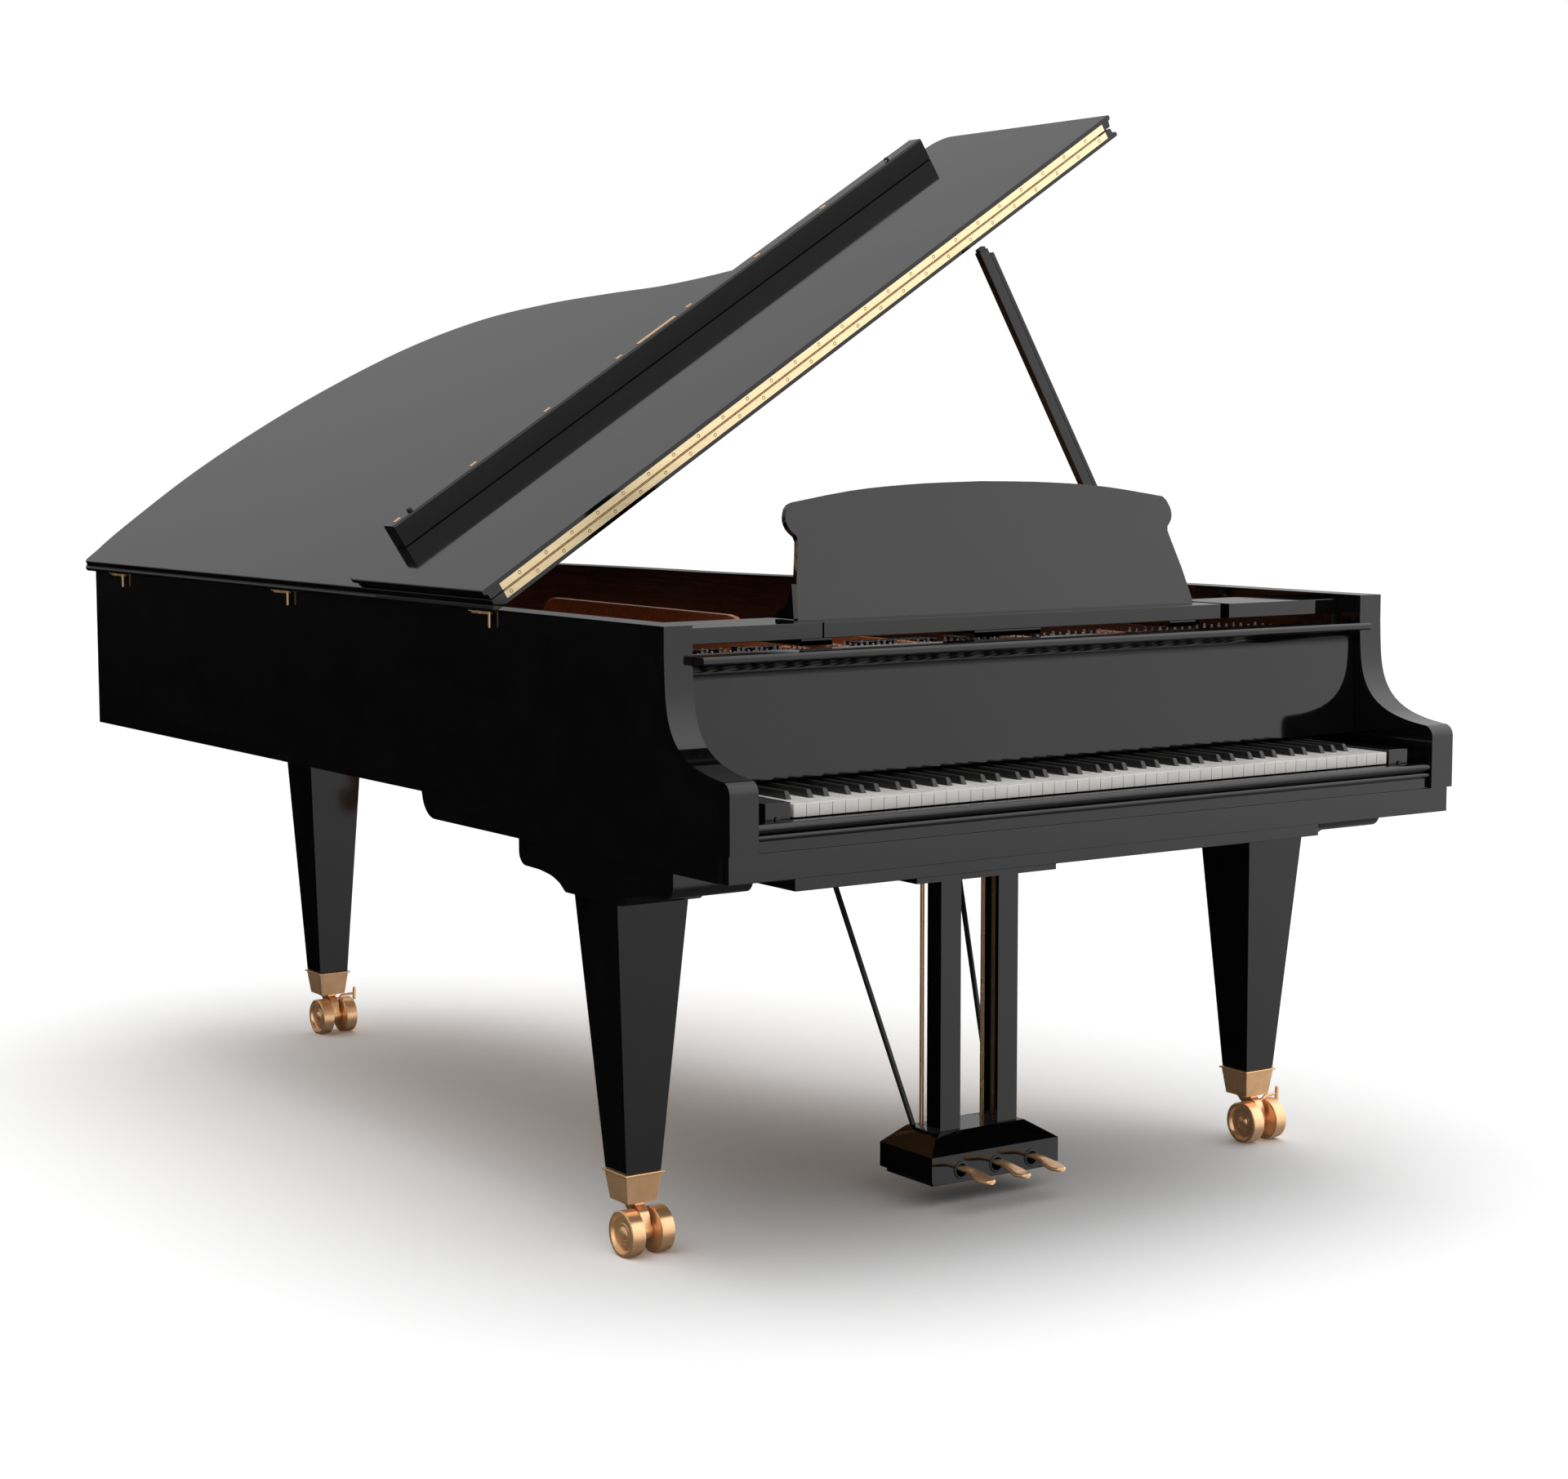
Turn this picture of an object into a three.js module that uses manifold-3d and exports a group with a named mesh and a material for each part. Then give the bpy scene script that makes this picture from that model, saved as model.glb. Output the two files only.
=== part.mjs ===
// A grand piano in black polyester with its lid on the long prop: case, iron frame, keyboard, music desk,
// fallboard, folding lid, pedal lyre, three tapered legs and brass twin-wheel casters.
// Millimetres. Inside this file X runs to the treble, Y to the tail and Z up, from the floor below the middle
// of the keyboard's front; the finished group is moved so that its origin is the middle of its footprint.
import * as THREE from 'three';
import { mergeVertices } from 'three/addons/utils/BufferGeometryUtils.js';
import Module from 'manifold-3d';

const wasm = await Module();
wasm.setup();

// ---- driving dimensions ----
const GAP = 0.3; // between pieces that touch
const HALF_CASE = 741;
const RIM_WALL = 50;
const INNER = HALF_CASE - RIM_WALL;
const RIM_TOP = 1004.5;
const RIM_BOTTOM = 683;
const KEYBED_BOTTOM = 640;
const ARM_BACK = 175; // where an arm's front edge turns upright
const FOOTPRINT_X = -19; // the middle of the bounding box in this file's frame
const FOOTPRINT_Y = 1261.35;

const KEY_PITCH = 23.5;
const NATURALS = 52;
const KEY_TOP = 747.5;
const KEY_BOTTOM = 727.5;
const KEY_FRONT = 28;
const KEY_REAR = 300;
const KEY_FRAME = 608; // half the length of the rails that the keys lie over
const SHARP_FRONT = 78;
const SHARP_RISE = 12;
const SHARP_WIDTH = 10;
const FIRST_FREE = 23; // the natural C in the middle; five keys from here move on their own

const LID_ANGLE = THREE.MathUtils.degToRad(32.4);
const HINGE_X = -748;
const HINGE_Z = 1002.4;
const LID_THICK = 20;
const LID_UNDER = 3.6; // underside above the hinge axis
const LID_OVERHANG = 16;
const LID_STRETCH = 1.0172; // the overhang grows toward the treble
const FOLD_Y = 660; // the main lid's front face
const FLAP_DEPTH = 503;
const FOLD_GAP = 2;

const PROP_FOOT = new THREE.Vector3(584, 640, 978);
const PROP_LEAN = THREE.MathUtils.degToRad(30.6);
const PROP_LENGTH = 735;

const TRAY_FRONT = 230;
const TRAY_TOP = 996;
const TRAY_BOTTOM = 971;
const TRAY_HALF = 414;
const SHELF_REAR = 370;
const DESK_PIVOT = new THREE.Vector3(0, 304, 987);
const DESK_LEAN = THREE.MathUtils.degToRad(17);

const FALL_PIVOT = [190, 778];

const LEG_X = 659;
const LEG_Y = 406;
const REAR_LEG = [-303, 2254];
const LEG_TOP_HALF = 65;
const LEG_FOOT_HALF = 32;
const LEG_FOOT = 131;
const BLOCK_BOTTOM = 570;
const WHEEL_RADIUS = 37;
const TRAIL = 26;

const PEDAL_X = [-74, 1, 76];
const ROD_X = [-74, 1, 56];
const PEDAL_Z = 67;
const PEDAL_PIVOT_Y = 385;
const ROD_Y = 425;
const BOX_TOP = 119;

// ---- materials ----
function finish(color, roughness, metalness = 0) {
  return new THREE.MeshStandardMaterial({ color, roughness, metalness });
}
const black = finish(0x060606, 0.08);
const satin = finish(0x101010, 0.35);
const ivory = finish(0xf2efe8, 0.25);
const ebony = finish(0x0b0b0b, 0.4);
const bronze = finish(0xa4522a, 0.35, 0.7);
const brass = finish(0xc98f4e, 0.25, 1);
const hingeBrass = finish(0xe2c27d, 0.3, 1);
const steel = finish(0x9a9a9a, 0.3, 1);
const spruce = finish(0xb98550, 0.6);
const beech = finish(0x8a5f3c, 0.7);
const felt = finish(0xd8d3c6, 0.95);

// ---- solids ----
function asSolid(shape) {
  if (shape instanceof wasm.Manifold) return shape;
  const plain = shape.clone();
  plain.deleteAttribute('normal');
  plain.deleteAttribute('uv');
  const merged = mergeVertices(plain, 1e-4);
  return new wasm.Manifold(new wasm.Mesh({
    numProp: 3,
    vertProperties: new Float32Array(merged.attributes.position.array),
    triVerts: new Uint32Array(merged.index.array),
  }));
}

function join(...shapes) {
  return shapes.map(asSolid).reduce((a, b) => a.add(b));
}

function cut(shape, ...tools) {
  return tools.map(asSolid).reduce((a, b) => a.subtract(b), asSolid(shape));
}

function common(a, b) {
  return asSolid(a).intersect(asSolid(b));
}

function asGeometry(shape) {
  if (!(shape instanceof wasm.Manifold)) return shape;
  const { vertProperties, triVerts, numProp } = shape.getMesh();
  const position = new Float32Array((vertProperties.length / numProp) * 3);
  for (let i = 0; i < position.length / 3; i++) {
    for (let k = 0; k < 3; k++) position[3 * i + k] = vertProperties[numProp * i + k];
  }
  const geometry = new THREE.BufferGeometry();
  geometry.setAttribute('position', new THREE.BufferAttribute(position, 3));
  geometry.setIndex(new THREE.BufferAttribute(new Uint32Array(triVerts), 1));
  geometry.computeVertexNormals();
  return geometry;
}

function box(x0, x1, y0, y1, z0, z1) {
  const geometry = new THREE.BoxGeometry(x1 - x0, y1 - y0, z1 - z0);
  return geometry.translate((x0 + x1) / 2, (y0 + y1) / 2, (z0 + z1) / 2);
}

// An outline of [a, b] pairs made solid along the third axis: 'z' takes x,y; 'x' takes y,z; 'y' takes x,z.
function prism(outline, along, from, to) {
  const shape = new THREE.Shape(outline.map(([a, b]) => new THREE.Vector2(a, b)));
  const geometry = new THREE.ExtrudeGeometry(shape, { depth: to - from, bevelEnabled: false });
  geometry.translate(0, 0, from);
  if (along === 'x') {
    geometry.applyMatrix4(new THREE.Matrix4().makeBasis(
      new THREE.Vector3(0, 1, 0), new THREE.Vector3(0, 0, 1), new THREE.Vector3(1, 0, 0)));
  }
  if (along === 'y') {
    geometry.applyMatrix4(new THREE.Matrix4().makeBasis(
      new THREE.Vector3(1, 0, 0), new THREE.Vector3(0, 0, 1), new THREE.Vector3(0, -1, 0)));
    geometry.translate(0, from + to, 0);
  }
  return geometry;
}

function rod(start, end, radius, sides = 16) {
  const a = new THREE.Vector3(...start);
  const b = new THREE.Vector3(...end);
  const geometry = new THREE.CylinderGeometry(radius, radius, a.distanceTo(b), sides);
  const turn = new THREE.Quaternion().setFromUnitVectors(
    new THREE.Vector3(0, 1, 0), b.clone().sub(a).normalize());
  const middle = a.clone().add(b).multiplyScalar(0.5);
  return geometry.applyQuaternion(turn).translate(middle.x, middle.y, middle.z);
}

// A square bar whose half side changes from one height to the next: [[z, half], ...].
function taperedBar(cx, cy, levels) {
  const rings = levels.map(([z, h]) => [[-h, -h], [h, -h], [h, h], [-h, h]]
    .map(([x, y]) => [cx + x, cy + y, z]));
  return stack(rings);
}

// Closed rings of equal length, one above the other, made into one solid with flat ends.
function stack(rings) {
  const count = rings[0].length;
  const position = rings.flat(2);
  const index = [];
  for (let r = 0; r < rings.length - 1; r++) {
    for (let i = 0; i < count; i++) {
      const j = (i + 1) % count;
      const [a, b, c, d] = [r * count + i, r * count + j, (r + 1) * count + j, (r + 1) * count + i];
      index.push(a, b, c, a, c, d);
    }
  }
  const cap = (ring, up) => {
    const offset = ring * count;
    const flat = rings[ring].map(([x, y]) => new THREE.Vector2(x, y));
    for (const [a, b, c] of THREE.ShapeUtils.triangulateShape(flat, [])) {
      index.push(...(up ? [a, b, c] : [a, c, b]).map((v) => v + offset));
    }
  };
  cap(0, false);
  cap(rings.length - 1, true);
  const geometry = new THREE.BufferGeometry();
  geometry.setAttribute('position', new THREE.Float32BufferAttribute(position, 3));
  geometry.setIndex(index);
  return geometry;
}

// Moves every point of a counter-clockwise outline outward along its corner's normal.
function grown(outline, distance) {
  const count = outline.length;
  return outline.map(([x, y], i) => {
    const [px, py] = outline[(i + count - 1) % count];
    const [nx, ny] = outline[(i + 1) % count];
    const before = new THREE.Vector2(y - py, px - x).normalize();
    const after = new THREE.Vector2(ny - y, x - nx).normalize();
    const normal = before.clone().add(after).normalize();
    const reach = distance / Math.max(0.5, normal.dot(after));
    return [x + normal.x * reach, y + normal.y * reach];
  });
}

function arc(cx, cy, radius, from, to, steps = 6) {
  return Array.from({ length: steps + 1 }, (_, i) => {
    const angle = THREE.MathUtils.degToRad(from + ((to - from) * i) / steps);
    return [cx + radius * Math.cos(angle), cy + radius * Math.sin(angle)];
  });
}

function smooth(points, steps) {
  const curve = new THREE.SplineCurve(points.map(([x, y]) => new THREE.Vector2(x, y)));
  return curve.getPoints(steps).map((p) => [p.x, p.y]);
}

const piano = new THREE.Group();

function add(name, shape, material, parent = piano) {
  const mesh = new THREE.Mesh(asGeometry(shape), material);
  mesh.name = name;
  parent.add(mesh);
  return mesh;
}

// ---- case ----
// The bentside from the treble cheek round the tail to the bass corner.
const bentside = smooth([
  [HALF_CASE, 600], [722, 712], [648, 812], [500, 958], [368, 1165], [304, 1363], [268, 1540], [252, 1725],
  [226, 1945], [174, 2155], [72, 2320], [-80, 2432], [-250, 2492], [-433, 2505], [-640, 2462], [-HALF_CASE, 2416],
], 52);
const caseOutline = [[-HALF_CASE, 0], [HALF_CASE, 0], ...bentside];
function distanceTo(outline, x, y) {
  const point = new THREE.Vector3(x, y, 0);
  const nearest = new THREE.Vector3();
  return Math.min(...outline.map(([ax, ay], i) => {
    const [bx, by] = outline[(i + 1) % outline.length];
    new THREE.Line3(new THREE.Vector3(ax, ay, 0), new THREE.Vector3(bx, by, 0))
      .closestPointToPoint(point, true, nearest);
    return nearest.distanceTo(point);
  }));
}

// The case's outline moved inward, without the points that crowd a corner.
function insideCase(distance) {
  return grown(caseOutline, -distance).filter(([x, y]) => distanceTo(caseOutline, x, y) > distance - 0.4);
}
const innerOutline = insideCase(RIM_WALL);

function slabInRim(margin, front, z0, z1) {
  const full = prism(insideCase(RIM_WALL + margin), 'z', z0, z1);
  return common(full, box(-HALF_CASE, HALF_CASE, front, 2600, z0 - 1, z1 + 1));
}

function caseRim() {
  const wall = cut(
    prism(caseOutline, 'z', RIM_BOTTOM, RIM_TOP),
    prism(innerOutline.map(([x, y]) => [x, y < 100 ? -100 : y]), 'z', RIM_BOTTOM - 1, RIM_TOP + 1),
  );
  // the arm's sweep: an upright front, a hollow curve, a low shoulder and a rounded nose
  const sweep = [
    ...smooth([[ARM_BACK, 960], [171, 897], [160, 857], [138, 828], [104, 808], [62, 796], [22, 790]], 18),
    ...arc(20, 770, 20, 90, 180, 6),
    [0, 700], [-50, 700], [-50, RIM_TOP + 10], [ARM_BACK, RIM_TOP + 10],
  ];
  const skirt = (side) => {
    const end = side < 0 ? 958 : 640;
    const profile = [
      [30, KEYBED_BOTTOM], [end - 52, KEYBED_BOTTOM], ...arc(end - 52, KEYBED_BOTTOM + 46, 46, -84, -20, 6),
      [end, RIM_BOTTOM + 20], [30, RIM_BOTTOM + 20],
    ];
    const [from, to] = side < 0 ? [-HALF_CASE, -INNER] : [INNER, HALF_CASE];
    return prism(profile, 'x', from, to);
  };
  const ledge = (side) => box(Math.min(side * 680, side * 700), Math.max(side * 680, side * 700),
    232, 610, 955, TRAY_BOTTOM - GAP);
  const tailRail = (x0, x1, y0, y1) => box(x0, x1, y0, y1, 800, 836);
  return cut(
    join(wall, skirt(-1), skirt(1), ledge(-1), ledge(1), tailRail(-INNER - 5, -INNER + 12, 700, 2300)),
    prism(sweep, 'x', -800, 800),
    box(-800, 800, -10, 30, 600, 682.6),
  );
}
add('case_rim', caseRim(), black);

add('keybed', join(
  box(-HALF_CASE + 3, HALF_CASE - 3, 8, 30 - GAP, KEYBED_BOTTOM, 682.3),
  box(-INNER + GAP, INNER - GAP, 29, 690, KEYBED_BOTTOM, 682.3),
  box(-KEY_FRAME, KEY_FRAME, 60, 100, 682, 712),
  box(-KEY_FRAME, KEY_FRAME, 240, 280, 682, 716),
), satin);
add('keybed_board', box(-545, 545, 120, 560, 600, KEYBED_BOTTOM - GAP), satin);

const slipProfile = [
  [8, 682.6], [8, 700], ...arc(8, 705, 5, 270, 90, 8), [9, 711], ...arc(9, 718.5, 7, 270, 90, 8),
  [24, 726], [26, 724], [26, 682.6],
];
add('key_slip', prism(slipProfile.reverse(), 'x', -INNER + GAP, INNER - GAP), black);

for (const side of [-1, 1]) {
  const span = (a, b) => (side < 0 ? [-b, -a] : [a, b]);
  const name = side < 0 ? 'key_block_bass' : 'key_block_treble';
  add(name, join(
    box(...span(616, 661), KEY_FRONT, 300, 682.6 + 30, 751),
    box(...span(660, INNER - GAP), 46, 300, 682.6, 742),
    box(...span(640, 670), 60, 290, 682.6, 720),
  ), black);
}

// ---- sound producing parts inside the case ----
const SOUNDBOARD_TOP = 846;
const PLATE_BOTTOM = 852;
const PLATE_TOP = 864;
const STRING_HEIGHT = 868;
const STRING_FRONT = 560;
const strutLines = [[-560, -600], [-330, -420], [-95, -230], [130, -60], [345, 130]];

function soundboard() {
  const bridge = smooth([[520, 800], [330, 1050], [150, 1330], [20, 1640], [-120, 1900], [-330, 2080]], 24);
  const ridge = (points, width) => {
    const left = grownStrip(points, width / 2);
    return prism(left, 'z', SOUNDBOARD_TOP - 1, SOUNDBOARD_TOP + 5);
  };
  return join(
    slabInRim(13, 470, SOUNDBOARD_TOP - 9, SOUNDBOARD_TOP),
    ridge(bridge, 30),
    ridge([[-600, 2090], [-480, 2200], [-330, 2260]], 30),
  );
}

// A band of even width along a row of points.
function grownStrip(points, half) {
  const sides = [-1, 1].map((side) => points.map(([x, y], i) => {
    const [ax, ay] = points[Math.max(0, i - 1)];
    const [bx, by] = points[Math.min(points.length - 1, i + 1)];
    const length = Math.hypot(bx - ax, by - ay);
    return [x + (side * half * (by - ay)) / length, y - (side * half * (bx - ax)) / length];
  }));
  return [...sides[0], ...sides[1].reverse()];
}
add('soundboard', soundboard(), spruce);

function ironPlate() {
  const FRONT = 250;
  const WEB_REAR = 470;
  const outer = slabInRim(8, FRONT, PLATE_BOTTOM, PLATE_TOP);
  const bed = slabInRim(70, WEB_REAR, PLATE_BOTTOM - 1, PLATE_TOP + 1);
  const overStrings = slabInRim(72, STRING_FRONT - 5, PLATE_BOTTOM - 2, STRING_HEIGHT + 4);
  const struts = strutLines.map(([front, rear]) => cut(prism([
    [front - 9, WEB_REAR - 200], [front + 9, WEB_REAR - 200], [rear + 8, 2600], [rear - 8, 2600],
  ], 'z', PLATE_BOTTOM, 898), overStrings));
  const capoBar = prism([[-300, 520], [-300, 500], [640, 500], [640, 520]].reverse(), 'z', PLATE_TOP - 2, 880);
  const within = slabInRim(9, FRONT + 20, PLATE_BOTTOM, 898);
  const tailArea = common(slabInRim(10, 0, PLATE_BOTTOM, PLATE_TOP), prism(
    [[-700, 2150], [-500, 2290], [-300, 2330], [-100, 2250], [100, 2010], [180, 1750], [500, 1750], [500, 2600],
      [-700, 2600]], 'z', PLATE_BOTTOM, PLATE_TOP));
  return join(cut(outer, bed), ...struts.map((s) => common(s, within)), common(capoBar, within), tailArea);
}
add('iron_plate', ironPlate(), bronze);

add('bracing', join(
  ...[[-560, -520], [-180, -470], [190, -380], [560, -250]].map(([front, rear]) => {
    const [fy, ry] = [700, rear === -250 ? 2000 : 2330];
    const beam = prism([[front - 28, fy], [front + 28, fy], [rear + 24, ry], [rear - 24, ry]], 'z', 700, 800);
    return common(beam, slabInRim(16, 690, 699, 801));
  }),
  common(box(-HALF_CASE, HALF_CASE, 692, 745, 700, 800), slabInRim(16, 690, 699, 801)),
), spruce);

add('strings', slabInRim(90, STRING_FRONT, STRING_HEIGHT, STRING_HEIGHT + 1.5), steel);

add('dampers', join(
  box(-600, 330, 596, 606, 906, 930),
  ...Array.from({ length: 12 }, (_, i) => box(-592 + 80 * i, -572 + 80 * i, 588, 634, 910, 934)),
), felt);

add('action', join(
  box(-600, 600, 330, 370, 730, 745),
  box(-600, 600, 345, 360, 744, 800),
  ...Array.from({ length: 16 }, (_, i) => join(
    box(-592 + 78 * i, -578 + 78 * i, 350, 470, 790, 800),
    box(-592 + 78 * i, -578 + 78 * i, 452, 472, 795, 832),
  )),
), beech);

// ---- keyboard ----
const keyLeft = (i) => (i - NATURALS / 2) * KEY_PITCH;
// the steps between naturals that hold a sharp, counted from the lowest A, and how far each leans
const SHARP_AFTER = { 0: 4, 2: -3, 3: 3, 5: -4, 6: 0 };
const sharpCentre = (i) => keyLeft(i + 1) + SHARP_AFTER[i % 7];
const hasSharp = (i) => i % 7 in SHARP_AFTER && i < NATURALS - 1;

function sharpSolid(i, bottom = KEY_TOP - 4) {
  const centre = sharpCentre(i);
  const top = KEY_TOP + SHARP_RISE;
  const side = [[SHARP_FRONT, bottom], [KEY_REAR - 40, bottom], [KEY_REAR - 40, top], [SHARP_FRONT + 6, top]];
  return prism(side, 'x', centre - SHARP_WIDTH / 2, centre + SHARP_WIDTH / 2);
}

function keyGroup(first, last) {
  const slab = box(keyLeft(first) + 0.4, keyLeft(last + 1) - 0.4, KEY_FRONT, KEY_REAR, KEY_BOTTOM, KEY_TOP);
  const sharps = [];
  for (let i = first; i < last; i++) if (hasSharp(i)) sharps.push(sharpSolid(i));
  return join(slab, ...sharps);
}
add('keys_bass', keyGroup(0, FIRST_FREE - 1), ivory);
add('keys_treble', keyGroup(FIRST_FREE + 3, NATURALS - 1), ivory);

['c4', 'd4', 'e4'].forEach((note, n) => {
  const i = FIRST_FREE + n;
  const left = n === 0 ? keyLeft(i) + 0.4 : sharpCentre(i - 1) + SHARP_WIDTH / 2 + 1;
  const right = n === 2 ? keyLeft(i + 1) - 0.4 : sharpCentre(i) - SHARP_WIDTH / 2 - 1;
  add(`key_${note}`, join(
    box(keyLeft(i) + 0.4, keyLeft(i + 1) - 0.4, KEY_FRONT, SHARP_FRONT - 2, KEY_BOTTOM, KEY_TOP),
    box(left, right, SHARP_FRONT - 3, KEY_REAR, KEY_BOTTOM, KEY_TOP),
  ), ivory);
});
['c4_sharp', 'd4_sharp'].forEach((note, n) => {
  add(`key_${note}`, sharpSolid(FIRST_FREE + n, KEY_BOTTOM), ebony);
});

// ---- fallboard: a tall panel with a hollow under its top lip ----
const fallProfile = [
  [183, 764], [188, 920], ...smooth([[188, 922], [186, 932], [179, 940], [166, 944.6], [150, 945.6]], 8),
  [146, 948], [146, 955], [149, 958.3], [213, 958.3], [213, 942], [206, 936], [206, 764],
];
add('fallboard', prism(fallProfile.reverse(), 'x', -INNER + 0.8, INNER - 0.8), black);

// ---- music desk ----
add('desk_tray', join(
  box(-TRAY_HALF, TRAY_HALF, TRAY_FRONT, 293, TRAY_BOTTOM, TRAY_TOP),
  box(-TRAY_HALF, -TRAY_HALF + 60, 290, 545, 955, 967),
  box(TRAY_HALF - 60, TRAY_HALF, 290, 545, 955, 967),
  box(-70, 70, 290, 545, 955, 967),
  box(-TRAY_HALF, TRAY_HALF, 505, 545, 955, 967),
  box(-TRAY_HALF, TRAY_HALF, 280, 300, 955, 972),
), black);
add('desk_shelf_bass', box(-INNER + 1, -TRAY_HALF - 2.5, TRAY_FRONT, SHELF_REAR, TRAY_BOTTOM, TRAY_TOP), black);
add('desk_shelf_treble', box(TRAY_HALF + 19, INNER - 1, TRAY_FRONT, SHELF_REAR, TRAY_BOTTOM, TRAY_TOP), black);

// the panel's outline: x across, height along the panel from its pivot line
const deskHalf = [
  [414, -6], [414, 14], [404, 70], [392, 118], [388, 136], ...smooth([[390, 144], [401, 156], [405, 172], [399, 190]], 8),
  [392, 197], ...smooth([[389, 198], [260, 217], [130, 226], [0, 229]], 10),
];
const deskOutline = [...deskHalf, ...deskHalf.slice(0, -1).reverse().map(([x, h]) => [-x, h])];
const deskGroup = new THREE.Group();
deskGroup.position.copy(DESK_PIVOT);
deskGroup.rotation.x = -DESK_LEAN;
piano.add(deskGroup);
add('music_desk', prism(deskOutline, 'y', -5.5, 5.5), black, deskGroup);

// the strut: hinged behind the panel, its foot on the tray's rear board
const STRUT_HEIGHT = 100;
const STRUT_BACK = 9.5;
const strutTop = new THREE.Vector3(0, STRUT_BACK, STRUT_HEIGHT)
  .applyAxisAngle(new THREE.Vector3(1, 0, 0), -DESK_LEAN).add(DESK_PIVOT);
const STRUT_FOOT = [strutTop.y + 88, 967 + 3.6];
const strutAngle = Math.atan2(STRUT_FOOT[0] - strutTop.y, strutTop.z - STRUT_FOOT[1]);
const strutLength = Math.hypot(STRUT_FOOT[0] - strutTop.y, strutTop.z - STRUT_FOOT[1]);
const strutGroup = new THREE.Group();
strutGroup.position.copy(strutTop);
strutGroup.rotation.x = strutAngle;
piano.add(strutGroup);
add('desk_strut', box(-30, 30, -3, 3, -strutLength, 2), black, strutGroup);

// ---- lid ----
const lidGroup = new THREE.Group();
lidGroup.position.set(HINGE_X, 0, HINGE_Z);
lidGroup.rotation.y = -LID_ANGLE;
piano.add(lidGroup);

const overlay = (outline) => grown(outline, LID_OVERHANG)
  .map(([x, y]) => [(x + HALF_CASE + LID_OVERHANG) * LID_STRETCH - HALF_CASE - LID_OVERHANG - HINGE_X, y]);
const lidPlan = overlay(caseOutline);
const LID_LEFT = Math.min(...lidPlan.map((p) => p[0]));
const LID_RIGHT = Math.max(...lidPlan.map((p) => p[0]));

// A board whose free edges carry a bead below a hollow; its fold edge stays square.
function mouldedBoard(outline, bottom, beadAtBottom) {
  const section = [[0, -2], [2, 0], [6.5, 0], [8.6, -2], [9.6, -6], [17, -6.8], [LID_THICK, -9]];
  const levels = beadAtBottom ? section : section.map(([z, d]) => [LID_THICK - z, d]).reverse();
  return stack(levels.map(([z, d]) => grown(outline, d)
    .map(([x, y]) => [x, Math.max(y, FOLD_Y), bottom + z])));
}

const mainOutline = [
  [LID_LEFT, FOLD_Y - 20], [LID_RIGHT, FOLD_Y - 20],
  ...lidPlan.filter(([x, y]) => y > FOLD_Y + 5 && x > LID_LEFT + 40),
  ...arc(LID_LEFT + 26, 2416, 26, 106, 180, 4),
];
add('lid_main', mouldedBoard(mainOutline, LID_UNDER, true), black, lidGroup);

const FLAP_BOTTOM = LID_UNDER + LID_THICK + FOLD_GAP;
const FLAP_TOP = FLAP_BOTTOM + LID_THICK;
const flapOutline = [
  [LID_LEFT, FOLD_Y - 20], [LID_RIGHT, FOLD_Y - 20],
  ...arc(LID_RIGHT - 40, FOLD_Y + FLAP_DEPTH - 40, 40, 0, 90, 8),
  ...arc(LID_LEFT + 40, FOLD_Y + FLAP_DEPTH - 40, 40, 90, 180, 8),
];
add('lid_flap', mouldedBoard(flapOutline, FLAP_BOTTOM, false), black, lidGroup);

const lipProfile = [
  [1089, FLAP_TOP + GAP], [1127, FLAP_TOP + GAP], [1127, FLAP_TOP + 42], [1125, FLAP_TOP + 44],
  [1091, FLAP_TOP + 44], [1089, FLAP_TOP + 42],
];
add('lid_lip', prism(lipProfile, 'x', 92, 1437), black, lidGroup);

const FOLD_AXIS = LID_UNDER + LID_THICK + FOLD_GAP / 2;
add('flap_hinge_lid_leaf', box(24, LID_RIGHT - 24, FOLD_Y - 1.5, FOLD_Y - GAP, FOLD_AXIS - 14, FOLD_AXIS - 0.6),
  hingeBrass, lidGroup);
add('flap_hinge_flap_leaf', box(24, LID_RIGHT - 24, FOLD_Y - 1.5, FOLD_Y - GAP, FOLD_AXIS + 0.6, FOLD_AXIS + 14),
  hingeBrass, lidGroup);

[['front', 700], ['middle', 1464], ['rear', 2256]].forEach(([place, y]) => {
  add(`lid_hinge_${place}`, join(
    box(-HALF_CASE - 3.4, -HALF_CASE - GAP, y, y + 62, 984, 1001),
    rod([HINGE_X, y, HINGE_Z], [HINGE_X, y + 62, HINGE_Z], 3),
    box(HINGE_X - 0.5, -HALF_CASE - 1, y + 1, y + 61, 998.6, 1002),
    rod([HINGE_X, y + 1, HINGE_Z], [HINGE_X, y + 1 - 8, HINGE_Z], 2.4),
    rod([HINGE_X, y - 6, HINGE_Z], [HINGE_X, y - 6, 974], 2.4),
  ), brass);
});

// ---- lid prop ----
const propGroup = new THREE.Group();
propGroup.position.copy(PROP_FOOT);
propGroup.rotation.y = -PROP_LEAN;
piano.add(propGroup);
add('lid_prop', join(
  box(-10, 10, -8, 8, 0, PROP_LENGTH),
  rod([0, -8, 0], [0, 8, 0], 12.5, 20),
  box(9, 24, -7, 7, 90, 330),
  box(9, 24, -5, 5, 328, 352),
), black, propGroup);
add('prop_bracket', common(join(
  box(558, INNER, 620, 660, 948, 960),
  box(664, INNER, 616, 664, 930, 975),
  box(570, 598, 626, 654, 959, 963),
), slabInRim(GAP, 600, 900, 1000)), black);

// ---- legs and casters ----
const blockEnd = [[480, BLOCK_BOTTOM], ...smooth([[498, 582], [524, 591], [563, 596]], 5),
  ...arc(606, 619, 22, 270, 360, 6), [628, KEYBED_BOTTOM - GAP]];
const blockMiddle = 2 * 395;
const blockProfile = [...blockEnd, ...blockEnd.map(([y, z]) => [blockMiddle - y, z]).reverse()];

function leg(name, x, y, top) {
  add(name, taperedBar(x, y, [[LEG_FOOT + GAP, LEG_FOOT_HALF], [top, LEG_TOP_HALF]]), black);
}

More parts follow.
